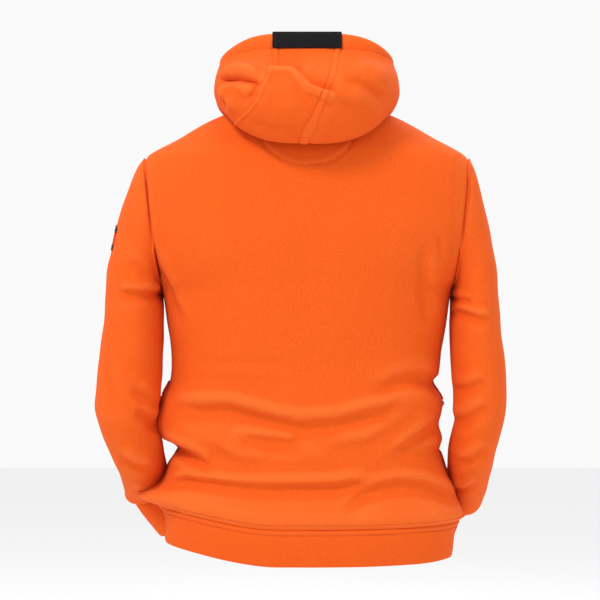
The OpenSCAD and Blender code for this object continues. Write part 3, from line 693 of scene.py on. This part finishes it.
# Sleeves
sleeveLooks = {
    "left": {
        "side": -1,
        "rings": [  # share of length, width, outer height, inner x, inner height, y, pitch, half depth
            [.05, .525, .82, -2, -5, -8, 0, .56], [.10, .69, .575, -3, -12, -11, 0, .55],
            [.16, .81, .33, -4, -20, -15, -3, .53],
            [.23, .89, .145, -4.5, -30, -18, -5, .51], [.32, .94, -45, -5, -50, -24, -6, .5],
            [.43, 1.00, -95, -4.5, -98, -30, -6, .49],
            [.54, 1.01, -145, -1, -145, -35, 0, .48], [.62, .975, -178, 2, -186, -37, 8, .46],
            [.71, .88, -222, -5, -234, -22, 26, .41],
            [.80, .77, -258, -6, -268, 15, 38, .35], [.90, .71, -291, -4, -284, 60, 38, .3],
            [1.00, .66, -315, -2, -299, 98, 22, .27]],
        "cuffWay": [-0.52, 0.27, -0.81],
        "backFolds": {
            "underArm": dict(path=[[-272, -256], [-261, -260], [-239, -262], [-204, -260]], deep=6,
                             wide=(5, 10), over=3.5, fade=.25, ends=.1),
            "capLow": dict(path=[[-262, -214], [-240, -222], [-222, -244]], deep=2.6, wide=(7, 9), fade=.35),
            "elbowHigh": dict(path=[[-252, -392], [-232, -412], [-212, -432]], deep=4, wide=(7, 9), over=2.5,
                              fade=.3),
            "elbow": dict(path=[[-246, -424], [-226, -440], [-208, -466]], deep=6.5, wide=(7, 10), over=4,
                          fade=.3),
            "elbowLow": dict(path=[[-276, -492], [-250, -510], [-218, -518]], deep=6, wide=(7, 8), over=4,
                             fade=.3),
            "foreArm": dict(path=[[-262, -552], [-236, -556], [-210, -548]], deep=4, wide=(5, 6), over=3,
                            fade=.3),
            "longDraw": dict(path=[[-292, -330], [-286, -380], [-270, -428]], deep=2.5, wide=(9, 9), fade=.35)},
        "frontFolds": {
            "elbowA": dict(path=[[-290, -352], [-255, -362], [-212, -352]], deep=6, wide=(6, 9), over=4,
                           fade=.3),
            "elbowB": dict(path=[[-288, -398], [-250, -404], [-210, -388]], deep=7, wide=(6, 9), over=4,
                           fade=.3),
            "elbowC": dict(path=[[-276, -452], [-246, -450], [-212, -432]], deep=5, wide=(6, 8), over=3,
                           fade=.3),
            "arm": dict(path=[[-276, -236], [-246, -250], [-212, -262]], deep=5, wide=(6, 9), over=3,
                        fade=.3)}},
    "right": {
        "side": 1,
        "rings": [
            [.05, .475, .755, -2, -5, -8, 0, .56], [.10, .60, .5, -3, -12, -11, 0, .55],
            [.16, .69, .27, -4, -20, -15, -3, .54],
            [.23, .74, .11, -4.5, -30, -18, -5, .53], [.32, .785, -45, -5, -50, -24, -6, .53],
            [.43, .83, -95, -4.5, -98, -30, -6, .52],
            [.54, .835, -143, -1, -145, -35, 0, .5], [.62, .78, -183, 0, -188, -36, 6, .47],
            [.71, .74, -223, -6, -230, -24, 22, .43],
            [.80, .70, -258, -6, -266, 8, 32, .38], [.90, .64, -292, -4, -290, 44, 40, .34],
            [1.00, .57, -318, -9, -306, 76, 44, .3]],
        "cuffWay": [-0.55, 0.66, -0.51],
        "backFolds": {
            "underArm": dict(path=[[206, -284], [222, -290], [240, -296], [262, -300]], deep=5.5, wide=(5, 9),
                             over=3.5, fade=.3, ends=.1),
            "armpit": dict(path=[[206, -262], [218, -270], [236, -272]], deep=3.5, wide=(4, 6), over=2, fade=.3,
                           ends=.2),
            "elbowHigh": dict(path=[[208, -402], [232, -396], [258, -382]], deep=4.5, wide=(7, 10), over=3,
                              fade=.3),
            "elbow": dict(path=[[206, -452], [228, -440], [262, -418]], deep=5, wide=(7, 10), over=3.5,
                          fade=.3),
            "elbowLow": dict(path=[[210, -506], [232, -500], [262, -478]], deep=4.5, wide=(6, 9), over=3,
                             fade=.3),
            "foreArm": dict(path=[[208, -548], [230, -548], [252, -532]], deep=4, wide=(5, 7), over=2.5,
                            fade=.3)},
        "frontFolds": {
            "elbowA": dict(path=[[212, -352], [255, -362], [288, -352]], deep=6, wide=(6, 9), over=4, fade=.3),
            "elbowB": dict(path=[[212, -394], [248, -404], [284, -392]], deep=7, wide=(6, 9), over=4, fade=.3),
            "elbowC": dict(path=[[210, -440], [244, -450], [272, -446]], deep=5, wide=(6, 8), over=3, fade=.3),
            "arm": dict(path=[[212, -262], [244, -250], [270, -236]], deep=5, wide=(6, 9), over=3, fade=.3)}},
}


def armRings(rows):  # heights count from the armpit; positive ones are shares of the armhole's depth
    first = [size["halfShoulder"], -size["shoulderDrop"], armpitX, armpitZ, -5, 0, .56 * size["sleeveDeep"]]
    table = [[0, first]]
    for share, wide, outer, innerX, innerZ, y, pitch, deep in rows:
        inner = armpitX + innerX
        up = outer * size["armhole"] if outer > 0 else outer
        ring = [inner + wide * size["sleeveWide"], armpitZ + up, inner, armpitZ + innerZ, y, pitch]
        table.append([share, ring + [deep * size["sleeveDeep"]]])
    return table


def armholePoint(a):  # edge of the armhole, 0 at the shoulder point and 180 degrees at the armpit
    z = mix(armpitZ, -size["shoulderDrop"], 0.5 + 0.5 * np.cos(a))
    x = edgeX(z)
    return np.stack([x, np.where(np.sin(a) > 0, frontY(x, z), backY(x, z)), z], -1)


def ringPoint(r, a):  # centre plus half the difference of the ends times cos, and the depth times sin
    c, s = np.cos(a), np.sin(a)
    pitch = r[..., 5] * degree
    return np.stack([(r[..., 0] + r[..., 2] + (r[..., 0] - r[..., 2]) * c) / 2,
                     r[..., 4] + r[..., 6] * np.cos(pitch) * s,
                     (r[..., 1] + r[..., 3] + (r[..., 1] - r[..., 3]) * c) / 2 + r[..., 6] * np.sin(pitch) * s], -1)


armGap = 0.4         # between the armhole's edge and the sleeve
headRun, endRun = 560, 480   # millimetres that v covers from 0 to 1, near the head and near the end


def makeSleeve(look):
    side, table = look["side"], armRings(look["rings"])

    def plain(u, v):   # the last few millimetres gather to the cuff's first ring
        a = -side * 2 * np.pi * u
        p = mix(armholePoint(a), ringPoint(curve(table, v), a), ease(v / .12)[..., None])
        last = np.array(table[-1][1])
        half = size["halfCuff"] + .5
        across = np.array([last[0] - last[2], 0, last[1] - last[3]])
        across /= np.linalg.norm(across)
        ahead = np.array([0, np.cos(last[5] * degree), np.sin(last[5] * degree)])
        middle = np.array([(last[0] + last[2]) / 2, last[4], (last[1] + last[3]) / 2])
        ring = middle + across * (half * np.cos(a))[..., None] + ahead * ((half + 4) * np.sin(a))[..., None]
        p = mix(p, ring, ease((v - .955) / .045)[..., None])
        return np.stack([side * (p[..., 0] + armGap), p[..., 1], p[..., 2]], -1)

    def height(p, u, v):
        s = np.sin(-side * 2 * np.pi * u)
        behind = ease(0.5 - s * 1.6)
        x, z = p[..., 0], p[..., 2]
        back, front = foldHeight(look["backFolds"], x, z), foldHeight(look["frontFolds"], x, z)
        folds = behind * back + (1 - behind) * front
        seam = -2.0 * bell(v * headRun, 3.0) + 1.0 * bell(v * headRun - 6, 4)
        cap = 2.4 * bell(v * headRun - 26, 18) * ease(np.cos(-side * 2 * np.pi * u) * 0.7 + 0.4)
        end = 3.0 * bell((1 - v) * endRun - 22, 12)
        waves = 1.4 * ease(v / .2) * ripple(p, 62, 21 + side)
        return folds * ease(v / .06) * ease((1 - v) / .03) + seam + cap + end + waves

    surface = raised(plain, height, *ringLimits)
    return table, surface


def makeCuff(look, table):
    # the rings run on from the sleeve's last one along the cuff's direction, and turn to face it
    r = np.array(table[-1][1])
    way, side, half = np.array(look["cuffWay"]), look["side"], size["halfCuff"]
    start = np.array([(r[0] + r[2]) / 2, r[4], (r[1] + r[3]) / 2]) - way * 1.5
    across0 = np.array([r[0] - r[2], 0, r[1] - r[3]])
    across1 = np.array([-way[2], 0, way[0]])
    across0, across1 = across0 / np.linalg.norm(across0), across1 / np.linalg.norm(across1)

    def plain(u, v):
        a = -side * 2 * np.pi * u
        across = mix(across0, across1, v[..., None])
        pitch = np.array([0, np.cos(r[5] * degree), np.sin(r[5] * degree)])
        ahead = mix(pitch, np.cross(across, way), v[..., None])
        across = across / np.linalg.norm(across, axis=-1, keepdims=True)
        ahead = ahead / np.linalg.norm(ahead, axis=-1, keepdims=True)
        p = (start + way * (v * size["cuffLength"])[..., None]
             + across * ((half - 2 * v) * np.cos(a))[..., None]
             + ahead * ((half + 4 - 3 * v) * np.sin(a))[..., None])
        return np.stack([side * (p[..., 0] + armGap), p[..., 1], p[..., 2]], -1)

    def height(p, u, v):
        along = v * size["cuffLength"]
        return (1.6 * np.sin(np.pi * v) ** .6 - 1.0 * bell(along, 3) - 0.8 * bell(along - 7.5, 1.8)
                + 0.8 * ripple(p, 34, 31 + side) + 0.5 * np.sin(u * 2 * np.pi * 9) * bell(along, 16))

    return raised(plain, height, *ringLimits)


arms = {}
for word, look in sleeveLooks.items():
    table, surface = makeSleeve(look)
    cuffSurface = makeCuff(look, table)
    arms[word] = {
        "surface": surface, "cuffSurface": cuffSurface,
        "sleeve": shell(word + "Sleeve", surface, (150, 230), (-t, 0), materials["fleeceKnit"], (0, 1), (0, 1),
                        closed=True),
        "cuff": shell(word + "Cuff", cuffSurface, (120, 46), (-size["band"], 0), materials["foldedBandKnit"],
                      (0, 1), (0, 1), closed=True),
    }
print("sleeves made")


# Badge on the outside of the left sleeve: a dark border with a plain field between
badge = {"from": .118, "high": 34.0, "border": .010, "halfWide": .075, "thick": 1.5}


def onSleeve(low, high, half, layer, name, material):
    return shell(name, arms["left"]["surface"], (36, 8), layer, material, (-half, half), (low, high))


badgeTop = badge["from"] + badge["high"] / 710
badgeBorder = [onSleeve(badge["from"], badge["from"] + badge["border"], badge["halfWide"],
                        (-.4, badge["thick"]), "badgeBorderLow", materials["blackTwill"]),
               onSleeve(badgeTop - badge["border"] * 1.3, badgeTop, badge["halfWide"], (-.4, badge["thick"]),
                        "badgeBorderHigh", materials["blackTwill"])]
badgeField = onSleeve(badge["from"] + badge["border"], badgeTop - badge["border"] * 1.3,
                      badge["halfWide"] - .002, (-.4, 1.0), "badgeField", materials["redTwill"])

# Hand-warmer pouch
pouch = {"high": 200.0, "topWide": 190.0, "baseWide": 300.0, "room": 24.0, "mouth": .78, "above": 2.0}


def pouchHalfWidth(v):
    up = np.clip((v - 1 + pouch["mouth"]) / pouch["mouth"], 0, 1)
    return mix(pouch["baseWide"], pouch["topWide"], up) / 2


def pouchPlace(u, v):  # the front panel's own surface, folds and all, under a place of the pouch
    x, z = -u * pouchHalfWidth(v), hemTop + pouch["above"] + v * pouch["high"]
    p = np.stack([x, frontY(x, z), z], -1)
    p[..., 1] += bodyHeight(p, True) + panelEdge(p)
    return p


def pouchCloth(u, v):
    # lift over the panel is room * sin(180 v)^0.7 * (1 - u^4 (1 - 0.75 mouth)), with a
    # pinch along the sewn edges and soft draws across the opening
    mouth = np.sqrt(np.sin(np.pi * np.clip((v - 1 + pouch["mouth"]) / (pouch["mouth"] - .05), 0, 1)))
    arch = np.sin(np.pi * np.clip(v, 0, 1)) ** .7
    lift = 0.6 + (pouch["room"] - .6) * arch * (1 - u ** 4 * (1 - .75 * mouth))
    p = pouchPlace(u, v)
    edge = np.minimum((1 - np.abs(u)) * pouchHalfWidth(v), np.minimum(v, 1 - v) * pouch["high"])
    lift = lift - 1.3 * bell(edge - 7, 1.8) - 1.3 * bell(edge - 14, 1.8)
    p[..., 1] += lift + 1.2 * ripple(p, 60, 41) * ease(edge / 30)
    return settle(p)


pouchPocket = shell("pouchPocket", pouchCloth, (170, 140), (0, t), materials["fleeceKnit"])
facings, bartacks = [], []
for name, low, high in (("pouchLeftFacing", .84, .98), ("pouchRightFacing", -.98, -.84)):
    facings.append(shell(name, pouchCloth, (14, 80), (-3.0, -1.6), materials["liningKnit"], (low, high),
                         (.24, .9)))
for side in sides:
    for at in (1 - pouch["mouth"] - .03, .955):
        bartacks.append(shell("bartack", pouchCloth, (4, 12), (t, t + 1.3), materials["spunThread"],
                              (side * .97 - .016, side * .97 + .016), (at - .025, at + .025)))

# Inside the back of the neck
def backWall(x, z):
    p = np.stack([x, backY(x, z) - .3, z], -1)
    p[..., 1] -= bodyHeight(p, False)
    return p


def belowBackNeck(x, drop):
    return neckHeight(np.arcsin(x / size["halfNeck"]) / degree, False) - drop


def moonCloth(u, v):
    low = -70 * np.sqrt(np.maximum(.03, 1 - u * u * .94))
    x = u * 71 * .96
    return backWall(x, mix(low, belowBackNeck(x, 16), v))


inner = -t - size["layerGap"]
neckTape = shell("neckTape", lambda u, v: backWall(u * 58, belowBackNeck(u * 58, mix(14, 2, v))), (60, 8),
                 (inner - 1, inner), materials["herringboneTape"])
halfMoon = shell("halfMoonPatch", moonCloth, (60, 30), (inner - 1.6, inner), materials["liningKnit"],
                 (-.88, .88))
neckLabel = shell("neckLabel", lambda u, v: backWall(u * 22, mix(-48, -18, v)), (20, 14),
                  (inner - 3, inner - 2.2), materials["satinLabel"])
print("pouch and neck pieces made")

# Hood
hood = {
    "seamLeft": [[0, -20], [.15, -38], [.3, -52], [.36, -46.8], [.42, -38.8], [.48, -30.8], [.54, -24.2],
                 [.6, -20], [.66, -17],
                 [.72, -15], [.78, -14], [.84, -14], [.9, -14], [.96, -14.8], [1, -15.2]],
    "seamRight": [[0, 14], [.15, 5], [.3, .5], [.36, 1.2], [.42, 3], [.48, 5], [.54, 7.2], [.6, 9.5], [.66, 11],
                  [.72, 11.8],
                  [.78, 12.2], [.84, 13], [.9, 13.2], [.96, 13.8], [1, 14.5]],
    "front": 179.7,
    "folds": {
        "upperRoll": dict(path=[[-128, 58], [-110, 57], [-92, 54], [-70, 43]], deep=-5, wide=(10, 9), fade=.3,
                          ends=.3),
        "deepCrease": dict(path=[[-128, 43], [-110, 41], [-96, 40], [-70, 31]], deep=20, wide=(4, 8), over=5,
                           under=5, fade=.3, ends=.35),
        "crest": dict(path=[[-60, 49], [-53, 51], [-24, 50], [-14, 46], [-6, 37], [6, 25], [30, 16], [44, 14]],
                      deep=10,
                      wide=(15, 3.5), under=7, fade=.16),
        "hole": dict(path=[[-140, 17], [-128, 13], [-114, 6]], deep=18, wide=(6, 6), under=4, over=5, fade=.4,
                     ends=.5),
        "creaseEnd": dict(path=[[-76, 38], [-70, 30], [-72, 16], [-84, 4]], deep=6, wide=(8, 5), over=3,
                          fade=.35),
        "underCurl": dict(path=[[-128, 2], [-112, 3], [-96, 12]], deep=-4, wide=(9, 9), fade=.4),
        "bagLeft": dict(path=[[-112, 30], [-92, 16], [-84, -2]], deep=5, wide=(8, 8), over=2, fade=.35),
        "dimple": dict(path=[[-14, 58], [-10, 46]], deep=5, wide=(5, 5), fade=.4, ends=.4),
        "bagMiddle": dict(path=[[-44, 36], [-30, 10], [-24, -24]], deep=-4, wide=(22, 22), fade=.4),
        "bagLow": dict(path=[[-92, -22], [-50, -34], [-2, -38]], deep=3, wide=(8, 12), fade=.3),
        "rightRoll": dict(path=[[58, 52], [86, 50], [112, 36]], deep=-5, wide=(14, 14), fade=.35),
        "rightCrease": dict(path=[[44, 30], [70, 30], [96, 18], [120, 8]], deep=5, wide=(7, 10), over=3,
                            under=2, fade=.3),
        "rightLow": dict(path=[[36, 0], [66, -6], [96, -6]], deep=3.5, wide=(9, 12), fade=.35)},
}
n, side, low = size["halfNeck"], size["sideNeck"] + 4, -size["neckDrop"]
reach, brim = size["bagReach"], size["brim"]
hoodRings = [  # share k, [half width, depth behind, depth in front, heights at back, side and front]
    [0, [n + 1, 80, 103, 8, side, low + 4]], [.14, [n + 17, 112, 107, -22, side, low + 11]],
    [.3, [n + 34, reach - 36, 112, -50, 11, low + 17]], [.46, [n + 42, reach - 3, 116, -18, 28, low + 25]],
    [.62, [n + 41, reach - 3, 113, 30, 48, low + 33]], [.8, [n + 37, 136, 106, brim - 36, brim - 39, low + 39]],
    [1, [n + 32, 118, 97, brim, brim - 27, low + 45]]]


def hoodPlain(a, k):
    # superellipse rings joined to the neckline; a is the angle from the middle of the back
    a, k = np.broadcast_arrays(np.asarray(a, float), np.asarray(k, float))
    back = np.cos(a * degree) > 0
    r = curve(hoodRings, k)
    p = np.where(back, mix(2.2, 3, ease(k)), mix(4, 3, ease(k / .6)))
    s, c = power(np.sin(a * degree), 2 / p), power(np.cos(a * degree), 2 / p)
    swell = np.where(back, mix(1.7, 2.6, ease((k - .12) / .18)), 1)
    z = mix(np.where(back, r[..., 3], r[..., 5]), r[..., 4], np.abs(np.sin(a * degree)) ** swell)
    ring = np.stack([r[..., 0] * s, -np.where(back, r[..., 1], r[..., 2]) * c, z], -1)
    turn = np.where(back, np.abs(a), 90 + 90 * (np.clip(np.abs(a) - 90, 0, 90) / 90) ** 1.5)
    x = np.sign(a) * size["halfNeck"] * np.sin(turn * degree)
    neckZ = np.where(back, neckHeight(turn, False), neckHeight(180 - turn, True))
    seam = np.stack([x, np.where(back, backY(x, neckZ), frontY(x, neckZ)), neckZ + 5.4], -1)
    return mix(seam, ring, ease(k / .14)[..., None])


brimSlope = np.linalg.norm(hoodPlain(0, 1.0) - hoodPlain(0, .9)) / .1
tunnelAt = 1 - size["tunnel"] / brimSlope
seamRadius = 128   # of the hood's rings where the panel seams run


def hoodShape(p, a, k):
    # folds of the bag where it faces backwards, soft waves elsewhere, and the brim's tunnel
    behind = ease((-p[..., 1] - 88) / 40) * ease((k - .26) / .08)
    full = 1.6 * bell((k - (1 + tunnelAt) / 2) * brimSlope, 9)
    waves = 1.4 * ripple(p, 70, 51) * ease(k / .3)
    return behind * foldHeight(hood["folds"], p[..., 0], p[..., 2]) + waves + full


def hoodLine(p, a, k):
    # what only the outer layer has: the stitched groove of the tunnel, the grooves and
    # pillow of each panel seam with its needle line, and the rolled brim
    groove = -1.3 * bell((k - tunnelAt) * brimSlope, 1.8)
    for name in ("seamLeft", "seamRight"):
        d = (a - curve(hood[name], k)) * degree * seamRadius
        side = d if name == "seamLeft" else -d
        groove = groove - 1.9 * bell(d, 1.6) + 1.5 * bell(side - 3.6, 2.4) - 1.0 * bell(side - 7.5, 1.3)
    return groove - 2.6 * bell((1 - k) * brimSlope, 2.5) - 1.5 * bell(k * 250, 4)


hoodLimits = ((-181, 181), (0, 1))
hoodInside = raised(hoodPlain, hoodShape, *hoodLimits)
hoodOutside = raised(hoodPlain, lambda p, a, k: hoodShape(p, a, k) + hoodLine(p, a, k), *hoodLimits)


def hoodLayer(name, low, high, columns, layer, material, surface, lastK=1.0):
    def cloth(u, v):
        k = lastK * np.maximum(v, 0) ** 1.15
        return surface(mix(low(k), high(k), u), k)
    return shell(name, cloth, (columns, 190), layer, material, (0, 1), (0, 1))


leftSeam, rightSeam = (lambda k: curve(hood["seamLeft"], k)), (lambda k: curve(hood["seamRight"], k))
parts = {"Left": (lambda k: -hood["front"] + 0 * k, lambda k: leftSeam(k) - .15, 210),
         "Centre": (lambda k: leftSeam(k) + .15, lambda k: rightSeam(k) - .15, 60),
         "Right": (lambda k: rightSeam(k) + .15, lambda k: hood["front"] + 0 * k, 220)}
hoodPieces = []
for part, (low, high, columns) in parts.items():
    outer = hoodLayer("hood" + part + "Panel", low, high, columns, (0, t), materials["fleeceKnit"], hoodOutside)
    lining = hoodLayer("hood" + part + "Lining", low, high, columns // 2,
                       (-size["layerGap"] - size["lining"], -size["layerGap"]),
                       materials["liningKnit"], hoodInside, .994)
    hoodPieces += [(outer, ["hood_" + part.lower() + "_panel"], "fleece"),
                   (lining, ["hood_" + part.lower() + "_lining"], "fleece_lining")]
facingOuter = -size["layerGap"] * 3 - size["lining"]
brimFacing = shell("brimFacing", lambda u, v: hoodInside(mix(-179.4, 179.4, u), v), (260, 16),
                   (facingOuter - 1.6, facingOuter),
                   materials["liningKnit"], (0, 1), (tunnelAt, .99))
hoodPieces.append((brimFacing, ["brim_facing"], "fleece_lining"))
print("hood made")

# Loop tape on the brim: a flat strip laid on the cloth
tape = {"long": 96.0, "high": 25.0, "thick": 1.8, "edge": 3.2}


def onTape(u, v):  # follows the brim's curve across, straight between its own top and foot
    top, foot = hoodPlain(0, 1.0), hoodPlain(0, tunnelAt)
    x = u * tape["long"] / 2
    line = mix(foot, top, v[..., None])
    return np.stack([x, line[..., 1] + 0 * x, line[..., 2]], -1)


def tapeCloth(u, v):
    p = onTape(u, v)
    edge = np.minimum((1 - np.abs(u)) * tape["long"] / 2, np.minimum(v, 1 - v) * tape["high"])
    lift = -.5 * bell(edge - tape["edge"], .9) - .5 * bell(edge, 1.2)
    return p + normalAt(onTape, u, v, (-1.1, 1.1), (-.1, 1.1)) * (t + .5 + lift)[..., None]


loopTape = shell("loopTape", tapeCloth, (120, 34), (0, tape["thick"]), materials["nylonLoop"], (-1, 1),
                 (.01, .99))
hoodPieces.append((loopTape, ["loop_strip"], "loop_tape"))


def ringMesh(name, centre, axis, profile, material, around=64):
    # turned ring: closed profile of [radius, height] round the axis
    axis = axis / np.linalg.norm(axis)
    side = np.cross(axis, [0, 0, 1.0])
    side /= np.linalg.norm(side)
    up = np.cross(axis, side)
    a = np.arange(around) * 2 * np.pi / around
    out = np.cos(a)[:, None] * side + np.sin(a)[:, None] * up
    profile = np.array(profile)
    p = centre + out[:, None] * profile[None, :, :1] + axis * profile[None, :, 1:]
    ids = np.arange(around * len(profile)).reshape(around, -1)
    q = np.stack([ids, np.roll(ids, -1, 0), np.roll(np.roll(ids, -1, 0), -1, 1), np.roll(ids, -1, 1)],
                 -1).reshape(-1, 4)
    return addMesh(name, p.reshape(-1, 3), q, material)


def eyeletProfile(long):  # rolled flange outside, tube, flange inside
    r, w = 2.6, 3.0
    turn = np.linspace(0, np.pi, 9)
    top = [[r + w / 2 + w / 2 * np.cos(x), long - .1 + .75 * np.sin(x)] for x in turn]
    low = [[r + w / 2 - w / 2 * np.cos(x), .1 - .5 * np.sin(x)] for x in turn]
    return top + [[r, long * .5]] + low + [[r + .8, .9], [r + .8, long - .9]]


eyelets = []
for side in sides:
    a, k = np.array(side * 158.0), np.array(.9)
    p, n = hoodInside(a, k), normalAt(hoodInside, a, k, *hoodLimits)
    low, high = p + n * (facingOuter - 2.0), p + n * (t + 1.0)
    eyelets.append(ringMesh("eyelet", low, high - low, eyeletProfile(np.linalg.norm(high - low)),
                            materials["pressedSteel"]))
print("strip and eyelets made")

# Sewing threads
steps = np.linspace(0, 1, 400)
hoodRows = []
for name, off in (("seamLeft", 7.5), ("seamRight", -7.5)):
    k = mix(.24, .995, steps)
    a = curve(hood[name], k) + off / seamRadius / degree
    hoodRows.append(seamRow(hoodOutside, a, k, *hoodLimits, lift=t))
hoodRows.append(seamRow(hoodOutside, mix(-176, 176, np.linspace(0, 1, 1600)), tunnelAt, *hoodLimits, lift=t))
tapeU = np.concatenate([np.linspace(-.93, .93, 300), np.full(80, .93), np.linspace(.93, -.93, 300),
                        np.full(80, -.93)])
tapeV = np.concatenate([np.full(300, .87), np.linspace(.87, .13, 80), np.full(300, .13),
                        np.linspace(.13, .87, 80)])
tapeRows = [seamRow(tapeCloth, tapeU, tapeV, (-1.1, 1.1), (-.1, 1.1), lift=tape["thick"])]
ringU = np.linspace(0, 1, 2400)
belowSeam, aboveSeam = 8.0, 5.5   # the hem's two needle lines, from its seam
bandV = 1 - belowSeam / (size["hem"] - .5)
bodyRows = [seamRow(bandCloth, ringU, bandV, *ringLimits, lift=.1)]
backU = np.linspace(-.995, .995, 1200)


def panelV(z):  # v of the panel whose side height is z, from the rule its rows follow
    share = (z - hemTop) / (-size["shoulderDrop"] - hemTop)
    return 1 - (1 - share) ** (1 / 1.9)


for cloth in (backCloth, frontCloth):
    bodyRows.append(seamRow(cloth, backU, panelV(hemTop + aboveSeam), lift=.1))
moon = np.array(moonLine, float)
moonAt = np.linspace(0, len(moon) - 1, 300)
mx, mz = (np.interp(moonAt, np.arange(len(moon)), moon[:, i]) for i in (0, 1))
moonPoint = np.stack([mx, backY(mx, mz), mz], -1)
moonPoint[:, 1] -= bodyHeight(moonPoint, False)
bodyRows.append((moonPoint, np.tile([0, -1.0, 0], (300, 1))))
pu = np.concatenate([np.full(160, .93), np.linspace(.93, -.93, 260), np.full(160, -.93)])
pv = np.concatenate([np.linspace(.02, .97, 160), np.full(260, .965), np.linspace(.97, .02, 160)])
bodyRows.append(seamRow(pouchCloth, pu, pv, lift=t))
armRows = {}
for word, arm in arms.items():
    armRows[word] = ([seamRow(arm["surface"], ringU, .0125, *ringLimits, lift=.1)],
                     [seamRow(arm["cuffSurface"], ringU, .105, *ringLimits, lift=.1)])
bodyThread = sew("bodyStitches", bodyRows, materials["spunThread"])
hoodThread = sew("hoodStitches", hoodRows, materials["spunThread"])
tapeThread = sew("tapeStitches", tapeRows, materials["blackThread"])
for word, arm in arms.items():
    arm["sleeveThread"] = sew(word + "SleeveStitches", armRows[word][0], materials["spunThread"])
    arm["cuffThread"] = sew(word + "CuffStitches", armRows[word][1], materials["spunThread"])
print("stitches made")

# What each piece stands for, and what the torso's and cuffs' pieces move with
def dress(pieces, body, bend=None):
    # pieces are (object, CAD nodes it stands for, material slot, which is not used); bend is
    # the unit direction with the places along it, in metres, where a turn to the body would begin and end;
    # only whether it is given is read: such pieces have their places baked in instead of being joined to the body
    for piece, nodes, finish in pieces:
        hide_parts(*nodes)
        if bend:
            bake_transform(piece)
        else:
            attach(piece, body)


dress([(backPanel, ["back_panel"], "fleece"), (frontPanel, ["front_panel"], "fleece"),
       (hemBand, ["hem_band"], "fleece_band"),
       (pouchPocket, ["pouch_pocket"], "fleece"), (facings[0], ["pouch_left_facing"], "fleece_lining"),
       (facings[1], ["pouch_right_facing"], "fleece_lining"), (neckTape, ["neck_tape"], "tape"),
       (halfMoon, ["half_moon_patch"], "fleece_lining"), (neckLabel, ["neck_label"], "label"),
       (bodyThread, [], "thread"),
       *[(bartack, ["pouch_bartacks"], "thread") for bartack in bartacks]], "torso")
for word, arm in arms.items():
    out = np.array([sleeveLooks[word]["side"] * np.cos(20 * degree), 0, -np.sin(20 * degree)])
    bending = [(arm["sleeve"], [word + "_sleeve"], "fleece"), (arm["sleeveThread"], [], "thread")]
    if word == "left":
        bending += [(border, ["sleeve_patch_frame"], "patch_black") for border in badgeBorder]
        bending += [(badgeField, ["sleeve_patch_field"], "patch_red")]
    dress(bending, word + "_arm", (out, .290, .345))
    dress([(arm["cuff"], [word + "_cuff"], "fleece_band"), (arm["cuffThread"], [], "thread")], word + "_arm")
hoodOut = np.array([0, -np.sqrt(.5), np.sqrt(.5)])
hoodPieces += [(hoodThread, [], "thread"), (tapeThread, [], "thread"),
               *[(e, ["hood_eyelets"], "eyelet") for e in eyelets]]
dress(hoodPieces, "hood", (hoodOut, .062, .145))

# Floor, light and camera
def lamp(name, place, target, wide, watts, colour=(1, 1, 1)):
    light = bpy.data.lights.new(name, "AREA")
    light.shape, light.size, light.energy, light.color = "DISK", wide, watts, colour
    lit = bpy.data.objects.new(name, light)
    lit.location = place
    lit.rotation_euler = (Vector(target) - Vector(place)).to_track_quat("-Z", "Y").to_euler()
    bpy.context.scene.collection.objects.link(lit)
    return lit


world = bpy.data.worlds.new("studio")
world.use_nodes = True
world.node_tree.nodes["Background"].inputs[0].default_value = (1, 1, 1, 1)
world.node_tree.nodes["Background"].inputs[1].default_value = 0.95
bpy.context.scene.world = world
bpy.context.scene.view_settings.view_transform = "Standard"

plain = bpy.data.materials.new("palePaper")
plain.use_nodes = True
paper = plain.node_tree.nodes["Principled BSDF"]
paper.inputs["Base Color"].default_value = (.9, .9, .9, 1)
paper.inputs["Roughness"].default_value = .9
bpy.ops.mesh.primitive_plane_add(size=16, location=(0, 0, -1.35))
floor = bpy.context.object
floor.name = "floor"
floor.data.materials.append(plain)
lamps = [lamp("key", (-1.3, -1.9, 2.1), (0, 0, -.3), .8, 50),
         lamp("fill", (2.4, -2.2, .3), (0, 0, -.3), 1.8, 6),
         lamp("above", (.2, .3, 2.2), (0, 0, 0), 1.2, 12),
         lamp("front", (.9, 2.3, 1.6), (0, 0, -.3), 1.2, 30)]

lens = bpy.data.cameras.new("camera")
lens.lens, lens.sensor_width = 97.3, 36
camera = bpy.data.objects.new("camera", lens)
camera.location, camera.rotation_euler = (-.010, -2.400, -.270), (np.pi / 2, 0, 0)
bpy.context.scene.collection.objects.link(camera)
bpy.context.scene.camera = camera
print("stage set")
